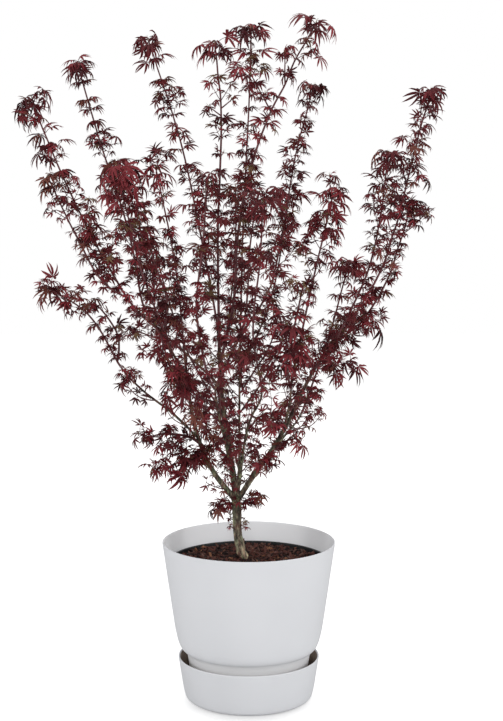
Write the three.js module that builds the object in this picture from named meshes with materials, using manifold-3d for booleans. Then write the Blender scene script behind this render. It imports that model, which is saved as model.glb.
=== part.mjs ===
// A slender red-leaved maple, about 1.2 m tall, in a black nursery pot that stands inside a
// white self-watering planter with its water saucer.
// Millimetres, +Z up. The origin is on the floor, at the centre of the saucer's underside.

import * as THREE from 'three';
import { mergeVertices } from 'three/addons/utils/BufferGeometryUtils.js';
import Module from 'manifold-3d';

const wasm = await Module();
wasm.setup();

// Driving dimensions. The seat gap parts the pots and what they hold, the limb gap parts a limb
// or a mass from the limb that it grows on, and the mass gap parts neighbouring masses.

const SEAT_GAP = 0.3;
const LIMB_GAP = 0.5;
const MASS_GAP = 4;
const ROUND_SEGMENTS = 28;
const BEND_STEPS = 2;

const SAUCER = {
  height: 75,
  rimRadius: 123,
  footRadius: 113.5,
  edgeRound: 12,
  edgeTuck: 1,
  innerEdgeRise: 3,
  poolRadius: 106,
  wall: 2.8,
  floor: 3,
};

const PLANTER = {
  height: 278,
  rimRadius: 150,
  shoulderRadius: 127.3,
  shoulderHeight: 119,
  waistRadius: 114,
  waistHeight: 90,
  neckRadius: 104,
  neckHeight: 58,
  bendReach: 6,
  bendTuck: 3,
  wall: 3,
  floorEdgeRadius: 115,
  floorTop: 99,
  floorThickness: 3,
  drainRadius: 15,
};

const NURSERY_POT = {
  rimHeight: 244,
  rimRadius: 139.4,
  rimDepth: 7,
  wallTopRadius: 136.6,
  footRadius: 112,
  wall: 1.6,
  floor: 2,
  drainRadius: 12,
};

const ROOT_BALL = {
  edgeHeight: 232,
  crownHeight: 246,
  crownRadius: 34,
  slopeReach: 40,
  slopeDrop: 1,
};

const TRUNK = {
  lean: [[-9, 0], [-14, 18], [-19.5, 45], [-20.5, 78], [-20.5, 106.7]],
  flatFoot: 4,
  girth: [10, 8.9, 8.7, 7.8, 7.9, 8.3, 8.9, 8.2],
  sides: 12,
};

const BOUGH_SIDES = 5;
const BOUGH_STEP = 60;
const MASS_SIDES = 6;
const MASS_UNEVENNESS = 0.2;
const CORE_RADIUS = 3.2;
const CORE_SIDES = 5;
const MASS_SMOOTHING = 3;
const LIMB_SMOOTHING = 0.15;

// Each bough leaves a limb at a fraction of that limb's length and passes through the points
// given, in millimetres. Its radius falls evenly from the first number to the second.

const BOUGHS = [
  {
    name: 'bough_centre', on: 'trunk', at: 0.97, radius: [5.8, 2.4],
    through: [[-31, 0, 420], [-43, 5, 499], [-48, 5, 548], [-51, 10, 644]],
  },
  {
    name: 'bough_left', on: 'trunk', at: 0.96, radius: [5.2, 2.3],
    through: [[-58, -20, 396], [-89, -55, 476], [-102, -85, 567], [-107, -92, 622]],
  },
  {
    name: 'bough_right', on: 'trunk', at: 0.96, radius: [5.2, 2.4],
    through: [[6, -5, 391], [33, -10, 427], [75, -20, 503], [108, -20, 579], [156, -20, 634]],
  },
  {
    name: 'bough_back', on: 'trunk', at: 0.98, radius: [3.4, 2],
    through: [[-16, 50, 405], [-17, 105, 473], [-16, 160, 592]],
  },
  {
    name: 'bough_front_right', on: 'trunk', at: 0.94, radius: [3.6, 1.9],
    through: [[-10, -50, 438], [-2, -80, 500], [31, -130, 557]],
  },
  {
    name: 'bough_front', on: 'bough_centre', at: 0.1, radius: [3.4, 2],
    through: [[-40, -90, 471], [-53, -165, 549], [-58, -190, 585]],
  },
  {
    name: 'bough_rear', on: 'bough_back', at: 0.2, radius: [3, 1.9],
    through: [[-37, 130, 450], [-62, 200, 513]],
  },
  {
    name: 'bough_right_back', on: 'bough_right', at: 0.28, radius: [3, 1.8],
    through: [[70, 40, 465], [96, 80, 484]],
  },
  {
    name: 'bough_right_front', on: 'bough_right', at: 0.42, radius: [3, 1.8],
    through: [[68, -90, 529], [70, -140, 586]],
  },
  {
    name: 'bough_low_left', on: 'bough_left', at: 0.49, radius: [2.8, 1.8],
    through: [[-142, -60, 524], [-179, -60, 549], [-219, -60, 589]],
  },
  {
    name: 'bough_left_back', on: 'bough_centre', at: 0.67, radius: [2.8, 1.8],
    through: [[-103, 60, 592], [-151, 80, 630], [-192, 90, 675]],
  },
  {
    name: 'bough_upright_right', on: 'bough_centre', at: 0.72, radius: [2.8, 1.9],
    through: [[-19, 40, 624], [23, 75, 682], [46, 100, 724]],
  },
  {
    name: 'bough_far_left', on: 'bough_left', at: 0.8, radius: [2.8, 1.8],
    through: [[-145, -110, 657], [-193, -120, 694]],
  },
];

// Each mass of foliage leaves its limb in the same way. Its girth is a list of radii, evenly
// spaced from its foot to its tip: a swelling is a cluster of leaves, a waist is a bare stem.

const MASSES = [
  {
    name: 'foliage_far_left', on: 'bough_far_left', at: 0.96,
    through: [[-262, -95, 820], [-332, -70, 970], [-362, -60, 1057]],
    girth: [7, 24, 24, 44, 26, 28, 22, 20, 38, 20, 5],
  },
  {
    name: 'foliage_left_tall', on: 'bough_left_back', at: 0.96,
    through: [[-210, 100, 805], [-255, 100, 950], [-300, 90, 1110]],
    girth: [7, 15, 20, 22, 30, 24, 16, 22, 17, 24, 5],
  },
  {
    name: 'foliage_left_cloud', on: 'bough_far_left', at: 0.5,
    through: [[-175, -150, 765], [-210, -180, 935]],
    girth: [5, 8, 12, 16, 30, 50, 46, 14],
  },
  {
    name: 'foliage_left_inner', on: 'bough_left', at: 0.93,
    through: [[-122, -70, 765], [-158, -40, 935]],
    girth: [6, 16, 30, 14, 26, 18, 27, 8],
  },
  {
    name: 'foliage_top_left', on: 'bough_centre', at: 0.97,
    through: [[-78, 45, 780], [-121, 60, 980], [-181, 70, 1161]],
    girth: [6, 12, 18, 24, 22, 14, 24, 22, 30, 29, 28, 5],
  },
  {
    name: 'foliage_top', on: 'bough_centre', at: 0.88,
    through: [[-52, -22, 800], [-46, -48, 1035], [-60, -58, 1137]],
    girth: [5, 14, 16, 24, 30, 15, 20, 13, 27, 16, 30, 6],
  },
  {
    name: 'foliage_top_middle', on: 'bough_back', at: 0.96,
    through: [[-10, 150, 830], [0, 135, 1020], [5, 120, 1177]],
    girth: [6, 18, 22, 20, 24, 26, 16, 22, 15, 26, 32, 8],
  },
  {
    name: 'foliage_high_right', on: 'bough_centre', at: 0.8,
    through: [[-24, -48, 700], [-15, -65, 840], [30, -95, 1000], [88, -110, 1110], [119, -110, 1173]],
    girth: [4, 14, 14, 16, 24, 22, 24, 16, 26, 40, 20, 7],
  },
  {
    name: 'foliage_right_inner', on: 'bough_upright_right', at: 0.95,
    through: [[65, 130, 835], [85, 150, 950], [120, 160, 1078]],
    girth: [6, 20, 26, 22, 32, 28, 20, 26, 5],
  },
  {
    name: 'foliage_right_middle', on: 'bough_right_front', at: 0.95,
    through: [[108, -122, 755], [139, -125, 893]],
    girth: [5, 20, 14, 18, 26, 40, 26, 7],
  },
  {
    name: 'foliage_far_right', on: 'bough_right', at: 0.98,
    through: [[231, 20, 755], [272, 45, 900], [315, 50, 1069]],
    girth: [6, 18, 14, 22, 46, 38, 26, 24, 38, 7],
  },
  {
    name: 'foliage_right_outer', on: 'bough_right', at: 0.94,
    through: [[202, -75, 765], [226, -110, 955]],
    girth: [5, 24, 16, 12, 28, 30, 20, 6],
  },
  {
    name: 'foliage_right_low', on: 'bough_right_back', at: 0.9,
    through: [[150, 110, 645], [180, 120, 768]],
    girth: [5, 18, 20, 12, 16, 30, 8],
  },
  {
    name: 'foliage_right_side', on: 'bough_right', at: 0.9,
    through: [[182, 32, 644], [255, 60, 661]],
    girth: [5, 26, 32, 24, 10],
  },
  {
    name: 'foliage_right_front', on: 'bough_right_front', at: 0.8,
    through: [[58, -192, 633], [64, -232, 708]],
    girth: [5, 24, 44, 44, 14],
  },
  {
    name: 'foliage_right_hanging', on: 'bough_right', at: 0.76,
    through: [[140, -60, 600], [172, -95, 562]],
    girth: [5, 20, 34, 30, 12],
  },
  {
    name: 'foliage_low_left', on: 'bough_low_left', at: 0.96,
    through: [[-270, -50, 680], [-372, -30, 735]],
    girth: [5, 14, 18, 20, 24, 26, 12],
  },
  {
    name: 'foliage_low_left_inner', on: 'bough_low_left', at: 0.8,
    through: [[-195, -100, 585], [-215, -125, 565]],
    girth: [4, 18, 18, 8],
  },
  {
    name: 'foliage_left_front', on: 'bough_left', at: 0.8,
    through: [[-105, -160, 575], [-142, -215, 568]],
    girth: [5, 24, 30, 28, 12],
  },
  {
    name: 'foliage_left_middle', on: 'bough_far_left', at: 0.68,
    through: [[-135, -140, 625], [-155, -170, 610]],
    girth: [4, 16, 22, 12],
  },
  {
    name: 'foliage_lowest_left', on: 'bough_left', at: 0.33,
    through: [[-104, -80, 438], [-147, -110, 410]],
    girth: [4, 24, 32, 26, 10],
  },
  {
    name: 'foliage_spray_left', on: 'bough_left', at: 0.43,
    through: [[-130, -66, 479], [-197, -66, 461]],
    girth: [4, 18, 15, 18, 14, 8],
  },
  {
    name: 'foliage_spray_right', on: 'bough_right', at: 0.34,
    through: [[75, -30, 465], [107, -40, 448]],
    girth: [3.5, 12, 25, 22, 8],
  },
  {
    name: 'foliage_tuft_left', on: 'trunk', at: 0.9,
    through: [[-45, -10, 346], [-76, -30, 333]],
    girth: [3.5, 8, 14, 7],
  },
  {
    name: 'foliage_tuft_right', on: 'trunk', at: 0.88,
    through: [[5, -10, 354], [36, -30, 364]],
    girth: [3.5, 9, 11, 6],
  },
  {
    name: 'foliage_right_foot', on: 'bough_right', at: 0.2,
    through: [[20, -60, 430], [15, -110, 436]],
    girth: [4, 17, 22, 10],
  },
  {
    name: 'foliage_centre_low', on: 'bough_centre', at: 0.24,
    through: [[-55, -60, 455], [-65, -120, 495]],
    girth: [4, 18, 22, 20, 8],
  },
  {
    name: 'foliage_front_low', on: 'bough_front_right', at: 0.5,
    through: [[-20, -100, 460], [-36, -130, 458]],
    girth: [4, 15, 17, 8],
  },
  {
    name: 'foliage_front_right_low', on: 'bough_front_right', at: 0.75,
    through: [[30, -140, 510], [45, -185, 536]],
    girth: [4, 20, 24, 20, 8],
  },
  {
    name: 'foliage_front', on: 'bough_front', at: 0.97,
    through: [[-25, -225, 620], [-4, -248, 662]],
    girth: [5, 28, 36, 32, 14],
  },
  {
    name: 'foliage_front_tall', on: 'bough_front', at: 0.93,
    through: [[-84, -176, 680], [-74, -170, 790], [-62, -165, 918]],
    girth: [4, 28, 32, 24, 16, 24, 34, 26, 7],
  },
  {
    name: 'foliage_back', on: 'bough_rear', at: 0.96,
    through: [[-38, 232, 640], [-25, 235, 770], [-25, 235, 893]],
    girth: [5, 26, 20, 24, 22, 26, 18, 8],
  },
  {
    name: 'foliage_back_left', on: 'bough_rear', at: 0.72,
    through: [[-118, 215, 590], [-170, 245, 750], [-200, 245, 872]],
    girth: [5, 22, 22, 26, 20, 26, 18, 8],
  },
  {
    name: 'foliage_back_right', on: 'bough_back', at: 0.9,
    through: [[30, 200, 645], [60, 235, 770], [75, 245, 883]],
    girth: [5, 24, 22, 26, 20, 26, 16],
  },
  {
    name: 'foliage_front_right_tall', on: 'bough_front_right', at: 0.96,
    through: [[6, -150, 650], [18, -195, 775], [22, -225, 878]],
    girth: [5, 24, 20, 24, 22, 28, 26, 9],
  },
  {
    name: 'foliage_back_low_left', on: 'bough_rear', at: 0.55,
    through: [[-100, 240, 490], [-145, 290, 536]],
    girth: [4, 22, 28, 22, 8],
  },
  {
    name: 'foliage_back_low_right', on: 'bough_right_back', at: 0.6,
    through: [[85, 180, 500], [110, 252, 516]],
    girth: [4, 20, 28, 22, 8],
  },
  {
    name: 'foliage_front_low_left', on: 'bough_front', at: 0.4,
    through: [[-82, -180, 514], [-97, -258, 556]],
    girth: [4, 18, 26, 22, 8],
  },
  {
    name: 'foliage_back_low_tall', on: 'bough_back', at: 0.72,
    through: [[28, 188, 580], [66, 252, 660]],
    girth: [4, 18, 28, 26, 9],
  },
  {
    name: 'foliage_centre_right', on: 'bough_back', at: 0.6,
    through: [[25, 90, 545], [42, 60, 585]],
    girth: [4, 20, 26, 22, 8],
  },
  {
    name: 'foliage_spray_back', on: 'bough_left_back', at: 0.55,
    through: [[-190, 160, 622], [-227, 212, 625]],
    girth: [4, 16, 20, 16, 7],
  },
];

// Colours

const COLOUR = {
  planter: 0xd6d7dc,
  nurseryPot: 0x24262a,
  rootBall: 0x4a2e26,
  bark: 0x6f7560,
  shoot: 0x5a3b35,
  foliage: 0x5e2830,
};

function surface(color, roughness) {
  return new THREE.MeshStandardMaterial({ color, roughness, metalness: 0 });
}

// Geometry helpers

/** A copy whose shared corners are one vertex and whose empty triangles are gone. */
function weld(geometry) {
  const bare = geometry.clone();
  bare.deleteAttribute('normal');
  bare.deleteAttribute('uv');
  const welded = mergeVertices(bare, 1e-4);
  const index = [];
  for (let i = 0; i < welded.index.count; i += 3) {
    const corners = [0, 1, 2].map((k) => welded.index.getX(i + k));
    if (new Set(corners).size === 3) index.push(...corners);
  }
  welded.setIndex(index);
  return welded;
}

function toSolid(geometry) {
  const welded = weld(geometry);
  return new wasm.Manifold(new wasm.Mesh({
    numProp: 3,
    vertProperties: Float32Array.from(welded.attributes.position.array),
    triVerts: Uint32Array.from(welded.index.array),
  }));
}

function toGeometry(solid) {
  const mesh = solid.getMesh();
  const geometry = new THREE.BufferGeometry();
  geometry.setAttribute('position', new THREE.BufferAttribute(Float32Array.from(mesh.vertProperties), 3));
  geometry.setIndex(Array.from(mesh.triVerts));
  geometry.computeVertexNormals();
  return geometry;
}

/** A body turned about the Z axis from [radius, height] points that run up its outer face. */
function turned(profile) {
  const points = profile.map(([radius, height]) => new THREE.Vector2(radius, height));
  return new THREE.LatheGeometry(points, ROUND_SEGMENTS).rotateX(Math.PI / 2);
}

/** Points on a quadratic curve between two [radius, height] points, its start left out. */
function curved(start, control, end, steps) {
  const curve = new THREE.QuadraticBezierCurve(
    new THREE.Vector2(...start),
    new THREE.Vector2(...control),
    new THREE.Vector2(...end),
  );
  return curve.getPoints(steps).slice(1).map((point) => [point.x, point.y]);
}

/** The curve that a limb or a mass follows: out of its carrier, then through its points. */
function route(start, through) {
  return new THREE.CatmullRomCurve3([start, ...through.map((point) => new THREE.Vector3(...point))]);
}

/**
 * A turned profile of the girth, bent along a curve. grow makes it larger all round, and
 * unevenness swells and shrinks it round its girth in a pattern that phase shifts.
 */
function bent(curve, girth, sides, { grow = 0, unevenness = 0, phase = 0 } = {}) {
  const last = girth.length - 1;
  const profile = [
    new THREE.Vector2(0, 0),
    ...girth.map((radius, step) => new THREE.Vector2(radius + grow, step)),
    new THREE.Vector2(0, last),
  ];
  const geometry = new THREE.LatheGeometry(profile, sides);
  const centres = curve.getSpacedPoints(last);
  const frames = curve.computeFrenetFrames(last);
  const position = geometry.attributes.position;
  for (let i = 0; i < position.count; i += 1) {
    const across = position.getX(i);
    const step = Math.round(position.getY(i));
    const along = position.getZ(i);
    const angle = Math.atan2(across, along);
    const ripple = Math.sin(3 * angle + phase + 1.9 * step) + Math.sin(2 * angle - 2.6 * step + phase);
    const swell = 1 + (unevenness * ripple) / 2;
    const endShift = grow * (step === last) - grow * (step === 0);
    const point = centres[step].clone()
      .addScaledVector(frames.normals[step], across * swell)
      .addScaledVector(frames.binormals[step], -along * swell)
      .addScaledVector(frames.tangents[step], endShift);
    position.setXYZ(i, point.x, point.y, point.z);
  }
  return geometry;
}

function boxesMeet(a, b) {
  const [boxA, boxB] = [a.boundingBox(), b.boundingBox()];
  return [0, 1, 2].every((axis) => boxA.min[axis] < boxB.max[axis] && boxB.min[axis] < boxA.max[axis]);
}

/** The solid with the cutters taken away. */
function carve(solid, cutters) {
  let rest = solid;
  for (const cutter of cutters) {
    if (boxesMeet(rest, cutter)) rest = rest.subtract(cutter);
  }
  return rest;
}

function largestPiece(solid) {
  return solid.decompose().reduce((best, piece) => (piece.volume() > best.volume() ? piece : best));
}

// The pots

function saucerGeometry() {
  const { height, rimRadius, footRadius, wall, floor } = SAUCER;
  const { edgeRound, edgeTuck, innerEdgeRise, poolRadius } = SAUCER;
  const lip = wall / 2;
  const edge = [footRadius, edgeRound];
  return turned([
    [0, 0],
    [footRadius - edgeRound, 0],
    ...curved([footRadius - edgeRound, 0], [footRadius - edgeTuck, 0], edge, BEND_STEPS),
    [rimRadius, height - lip],
    [rimRadius - lip, height],
    [rimRadius - wall, height - lip],
    [footRadius + edgeTuck - wall, edgeRound + innerEdgeRise],
    [poolRadius, floor],
    [0, floor],
  ]);
}

function planterGeometry() {
  const { height, rimRadius, shoulderRadius, shoulderHeight, waistRadius, waistHeight } = PLANTER;
  const { neckRadius, neckHeight, bendReach, bendTuck } = PLANTER;
  const { wall, floorTop, floorThickness, floorEdgeRadius, drainRadius } = PLANTER;
  const foot = SAUCER.floor + SEAT_GAP;
  const lip = wall / 2;
  const neck = [neckRadius, neckHeight];
  const waist = [waistRadius, waistHeight];
  const shoulder = [shoulderRadius, shoulderHeight];
  const underside = floorTop - floorThickness;
  return turned([
    [neckRadius, foot],
    neck,
    ...curved(neck, [neckRadius + bendTuck, waistHeight - bendReach], waist, BEND_STEPS),
    ...curved(waist, [shoulderRadius - bendTuck, waistHeight + bendReach], shoulder, BEND_STEPS),
    [rimRadius, height - lip],
    [rimRadius - lip, height],
    [rimRadius - wall, height - lip],
    [shoulderRadius - wall, shoulderHeight],
    [floorEdgeRadius, floorTop],
    [drainRadius, floorTop],
    [drainRadius, underside],
    [neckRadius - wall, underside],
    [neckRadius - wall, foot],
    [neckRadius, foot],
  ]);
}

function nurseryPotGeometry() {
  const { rimHeight, rimRadius, rimDepth, wallTopRadius } = NURSERY_POT;
  const { footRadius, wall, floor, drainRadius } = NURSERY_POT;
  const foot = PLANTER.floorTop + SEAT_GAP;
  return turned([
    [drainRadius, foot],
    [footRadius, foot],
    [wallTopRadius, rimHeight - rimDepth],
    [rimRadius, rimHeight - rimDepth],
    [rimRadius, rimHeight],
    [wallTopRadius - wall, rimHeight],
    [wallTopRadius - wall, rimHeight - rimDepth],
    [footRadius - wall, foot + floor],
    [drainRadius, foot + floor],
    [drainRadius, foot],
  ]);
}

function rootBallGeometry() {
  const { rimHeight, rimDepth, wallTopRadius, footRadius, wall, floor } = NURSERY_POT;
  const { edgeHeight, crownHeight, crownRadius, slopeReach, slopeDrop } = ROOT_BALL;
  const inset = wall + 2 * SEAT_GAP;
  const foot = PLANTER.floorTop + floor + 2 * SEAT_GAP;
  const shoulder = rimHeight - rimDepth;
  const filled = (edgeHeight - foot) / (shoulder - foot);
  const edgeRadius = THREE.MathUtils.lerp(footRadius, wallTopRadius, filled) - inset;
  const edge = [edgeRadius, edgeHeight];
  const crown = [crownRadius, crownHeight];
  return turned([
    [0, foot],
    [footRadius - inset, foot],
    edge,
    ...curved(edge, [edgeRadius - slopeReach, crownHeight - slopeDrop], crown, BEND_STEPS),
    [0, crownHeight],
  ]);
}

// The plant's limbs

const limbs = new Map();
const group = new THREE.Group();

function addMesh(name, geometry, material) {
  const mesh = new THREE.Mesh(geometry, material);
  mesh.name = name;
  group.add(mesh);
}

/** Evenly falling radii from a limb's foot to its end. */
function taper(curve, [footRadius, endRadius]) {
  const steps = Math.max(3, Math.round(curve.getLength() / BOUGH_STEP));
  return Array.from({ length: steps + 1 }, (_, step) => (
    THREE.MathUtils.lerp(footRadius, endRadius, step / steps)
  ));
}

function addTrunk() {
  const foot = ROOT_BALL.crownHeight + SEAT_GAP;
  const curve = new THREE.CatmullRomCurve3(
    TRUNK.lean.map(([x, rise]) => new THREE.Vector3(x, 0, foot + rise)),
  );
  const geometry = bent(curve, TRUNK.girth, TRUNK.sides);
  const position = geometry.attributes.position;
  for (let i = 0; i < position.count; i += 1) {
    if (position.getZ(i) < foot + TRUNK.flatFoot) position.setZ(i, foot);
  }
  const cutter = toSolid(bent(curve, TRUNK.girth, TRUNK.sides, { grow: LIMB_GAP }));
  limbs.set('trunk', { curve, cutter });
  addMesh('trunk', geometry, surface(COLOUR.bark, 0.85));
}

function addBough({ name, on, at, radius, through }) {
  const curve = route(limbs.get(on).curve.getPointAt(at), through);
  const girth = taper(curve, radius);
  const cutters = [...limbs.values()].map((limb) => limb.cutter);
  const solid = largestPiece(carve(toSolid(bent(curve, girth, BOUGH_SIDES)), cutters));
  const cutter = toSolid(bent(curve, girth, BOUGH_SIDES, { grow: LIMB_GAP }));
  limbs.set(name, { curve, cutter });
  addMesh(name, toGeometry(solid), surface(COLOUR.bark, 0.85));
}

/** Every mass keeps a thin core along its shoot, so that a neighbour never cuts it in two. */
function addMasses() {
  const limbCutters = [...limbs.values()].map((limb) => limb.cutter);
  const plans = MASSES.map((mass, order) => {
    const curve = route(limbs.get(mass.on).curve.getPointAt(mass.at), mass.through);
    const shape = { unevenness: MASS_UNEVENNESS, phase: 1.3 * order };
    const coreGirth = mass.girth.map(() => CORE_RADIUS);
    return {
      name: mass.name,
      body: toSolid(bent(curve, mass.girth, MASS_SIDES, shape)),
      bodyCutter: toSolid(bent(curve, mass.girth, MASS_SIDES, { ...shape, grow: MASS_GAP })),
      core: toSolid(bent(curve, coreGirth, CORE_SIDES)),
      coreCutter: toSolid(bent(curve, coreGirth, CORE_SIDES, { grow: MASS_GAP })),
    };
  });
  plans.forEach((plan, order) => {
    const earlier = plans.slice(0, order);
    const later = plans.slice(order + 1);
    const clear = carve(plan.body, [
      ...earlier.map((other) => other.bodyCutter),
      ...later.map((other) => other.coreCutter),
    ]);
    const whole = clear.decompose().length === 1 ? clear : clear.add(
      carve(plan.core, earlier.map((other) => other.coreCutter)),
    );
    const passed = carve(whole.simplify(MASS_SMOOTHING), limbCutters).simplify(LIMB_SMOOTHING);
    addMesh(plan.name, toGeometry(largestPiece(passed)), surface(COLOUR.foliage, 0.8));
  });
}

addMesh('saucer', saucerGeometry(), surface(COLOUR.planter, 0.35));
addMesh('planter', planterGeometry(), surface(COLOUR.planter, 0.35));
addMesh('nursery_pot', nurseryPotGeometry(), surface(COLOUR.nurseryPot, 0.5));
addMesh('root_ball', rootBallGeometry(), surface(COLOUR.rootBall, 0.95));
addTrunk();
BOUGHS.forEach(addBough);
addMasses();

export default group;
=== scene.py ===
"""Looks of a potted red-leaved Japanese maple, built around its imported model.

The pots, the mulch, the limbs and the foliage are each built by an operator. Limbs and foliage
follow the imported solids: the routes of the limbs and of the masses are measured on them, and
twigs, leaves and buds grow on from there by a seeded branching rule.
"""

import math
import random

import bmesh
import bpy
import numpy as np
from bpy.props import FloatProperty, FloatVectorProperty, IntProperty, PointerProperty
from bpy.types import Operator, Panel, PropertyGroup
from mathutils import Matrix, Vector, noise
from mathutils.kdtree import KDTree


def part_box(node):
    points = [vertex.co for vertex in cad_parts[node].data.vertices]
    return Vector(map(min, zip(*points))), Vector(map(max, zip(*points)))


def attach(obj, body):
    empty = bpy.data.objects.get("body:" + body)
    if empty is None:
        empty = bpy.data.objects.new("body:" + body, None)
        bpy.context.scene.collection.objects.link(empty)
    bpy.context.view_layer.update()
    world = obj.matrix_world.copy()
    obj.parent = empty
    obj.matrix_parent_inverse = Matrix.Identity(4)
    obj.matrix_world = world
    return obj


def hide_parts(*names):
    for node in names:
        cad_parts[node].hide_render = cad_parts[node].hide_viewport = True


bl_info = {
    "name": "Potted Japanese maple",
    "version": (1, 0, 0),
    "blender": (4, 5, 0),
    "location": "View3D > Sidebar > Maple",
    "description": "Builds a young red-leaved maple in a nursery pot, a planter and its saucer",
    "category": "Object",
}

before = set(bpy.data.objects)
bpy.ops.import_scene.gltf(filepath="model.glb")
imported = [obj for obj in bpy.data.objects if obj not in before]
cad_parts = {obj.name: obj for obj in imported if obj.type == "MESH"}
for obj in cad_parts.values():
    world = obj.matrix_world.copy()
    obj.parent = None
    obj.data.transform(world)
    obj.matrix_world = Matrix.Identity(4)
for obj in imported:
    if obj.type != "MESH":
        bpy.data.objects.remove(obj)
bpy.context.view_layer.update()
BODY = "root"

UP = Vector((0.0, 0.0, 1.0))
ROUND_STEPS = 120

# Which limb each bough grows on
BOUGH_PARENTS = {
    "bough_centre": "trunk",
    "bough_left": "trunk",
    "bough_right": "trunk",
    "bough_back": "trunk",
    "bough_front_right": "trunk",
    "bough_front": "bough_centre",
    "bough_rear": "bough_back",
    "bough_right_back": "bough_right",
    "bough_right_front": "bough_right",
    "bough_low_left": "bough_left",
    "bough_left_back": "bough_centre",
    "bough_upright_right": "bough_centre",
    "bough_far_left": "bough_left",
}
# How much fuller the round limbs are than the mean radius of their faceted solids
ROUND_OUT = 1.07
FULLER = {"bough_centre": 1.32, "bough_left": 1.16, "bough_right": 1.16}
# A mass whose foot lies closer than this to a bough's tip runs on from the bough
END_JOINT = 0.014
MASS_PREFIX = "foliage_"
MASSES = sorted(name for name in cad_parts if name.startswith(MASS_PREFIX))


# ---------------------------------------------------------------- settings


class PotSettings(PropertyGroup):
    rim_radius: FloatProperty(
        name="Planter rim radius",
        description="Outer radius of the planter at its rim",
        default=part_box("planter")[1].x,
        unit="LENGTH",
    )
    planter_top: FloatProperty(
        name="Planter height",
        description="Height of the planter's rim above the floor",
        default=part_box("planter")[1].z,
        unit="LENGTH",
    )
    saucer_radius: FloatProperty(
        name="Saucer rim radius",
        description="Outer radius of the saucer at its rim",
        default=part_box("saucer")[1].x,
        unit="LENGTH",
    )
    saucer_top: FloatProperty(
        name="Saucer height",
        description="Height of the saucer's rim above the floor",
        default=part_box("saucer")[1].z,
        unit="LENGTH",
    )
    plastic: FloatVectorProperty(
        name="Planter colour",
        description="Colour of the planter and its saucer",
        default=(0.735, 0.745, 0.772),
        subtype="COLOR",
        min=0,
        max=1,
    )
    # The planter's inside and its neck take this lighter tone: painted light where the lamps leave
    # them in shade
    painted_light_plastic: FloatVectorProperty(
        name="Planter's inner colour",
        description="Colour of the planter's cleaner inside",
        default=(0.93, 0.94, 0.96),
        subtype="COLOR",
        min=0,
        max=1,
    )
    # Dark brown that the saucer's inside takes below its rim: painted shade for the shadowed gap
    # between the saucer and the planter
    painted_shade_mark: FloatVectorProperty(
        name="Water mark",
        description="Colour that compost water leaves inside the saucer",
        default=(0.230, 0.175, 0.140),
        subtype="COLOR",
        min=0,
        max=1,
    )
    nursery_plastic: FloatVectorProperty(
        name="Nursery pot colour",
        description="Colour of the thin pot inside the planter",
        default=(0.012, 0.013, 0.015),
        subtype="COLOR",
        min=0,
        max=1,
    )
    chips: IntProperty(
        name="Mulch chips",
        description="Number of bark chips on the root ball",
        default=5200,
        min=0,
    )
    chip_length: FloatProperty(
        name="Chip length",
        description="Length of a common bark chip",
        default=0.0118,
        unit="LENGTH",
    )
    mulch_seed: IntProperty(
        name="Mulch seed",
        description="Seed of the chips' places and turns",
        default=4,
    )


class TreeSettings(PropertyGroup):
    seed: IntProperty(
        name="Growth seed",
        description="Seed of the branching rule",
        default=11,
    )
    leaf_length: FloatProperty(
        name="Leaf length",
        description="Length of the middle lobe of a full-grown leaf",
        default=0.0235,
        unit="LENGTH",
    )
    leafiness: FloatProperty(
        name="Leafiness",
        description="Number of leaves against the usual number",
        default=1.0,
        min=0.1,
        max=3,
    )
    node_step: FloatProperty(
        name="Node spacing",
        description="Distance between two pairs of leaves on a shoot",
        default=0.0190,
        unit="LENGTH",
    )
    bark: FloatVectorProperty(
        name="Bark colour",
        description="Colour of the trunk and the older boughs",
        default=(0.180, 0.173, 0.132),
        subtype="COLOR",
        min=0,
        max=1,
    )
    young_bark: FloatVectorProperty(
        name="Shoot colour",
        description="Colour of the thin shoots",
        default=(0.125, 0.040, 0.044),
        subtype="COLOR",
        min=0,
        max=1,
    )


class StageSettings(PropertyGroup):
    camera_distance: FloatProperty(
        name="Camera distance",
        description="Distance of the camera in front of the planter's axis",
        default=2.613,
        unit="LENGTH",
    )
    camera_height: FloatProperty(
        name="Camera height",
        description="Height of the camera above the floor",
        default=0.915,
        unit="LENGTH",
    )
    camera_pitch: FloatProperty(
        name="Camera pitch",
        description="Angle by which the camera looks down",
        default=math.radians(7.03),
        subtype="ANGLE",
    )
    lens: FloatProperty(
        name="Lens",
        description="Focal length of the camera in millimetres",
        default=76.8,
    )


# ---------------------------------------------------------------- materials


def principled(name, colour, roughness, **values):
    """A new material and its node tree, with these values on its shader's sockets."""
    material = bpy.data.materials.new(name)
    material.use_nodes = True
    shader = material.node_tree.nodes["Principled BSDF"]
    shader.inputs["Base Color"].default_value = (*colour, 1)
    shader.inputs["Roughness"].default_value = roughness
    for socket, value in values.items():
        shader.inputs[socket.replace("_", " ")].default_value = value
    material.diffuse_color = (*colour, 1)
    return material, material.node_tree, shader


def node(tree, kind, **settings):
    """A new shader node. Settings named in_0, in_1 or in_Name set its inputs."""
    made = tree.nodes.new(kind)
    for key, value in settings.items():
        if key.startswith("in_"):
            socket = key[3:].replace("_", " ")
            made.inputs[int(socket) if socket.isdigit() else socket].default_value = value
        else:
            setattr(made, key, value)
    return made


def object_coordinates(tree, scale=(1, 1, 1)):
    """The object coordinates, scaled, as an output socket."""
    source = node(tree, "ShaderNodeTexCoord")
    mapping = node(tree, "ShaderNodeMapping", in_Scale=scale)
    tree.links.new(source.outputs["Object"], mapping.inputs["Vector"])
    return mapping.outputs["Vector"]


def noise_at(tree, where, scale, detail=3.0, roughness=0.5):
    """A noise texture's value read at a vector socket."""
    texture = node(
        tree, "ShaderNodeTexNoise", in_Scale=scale, in_Detail=detail, in_Roughness=roughness
    )
    tree.links.new(where, texture.inputs["Vector"])
    return texture.outputs["Fac"]


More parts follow.
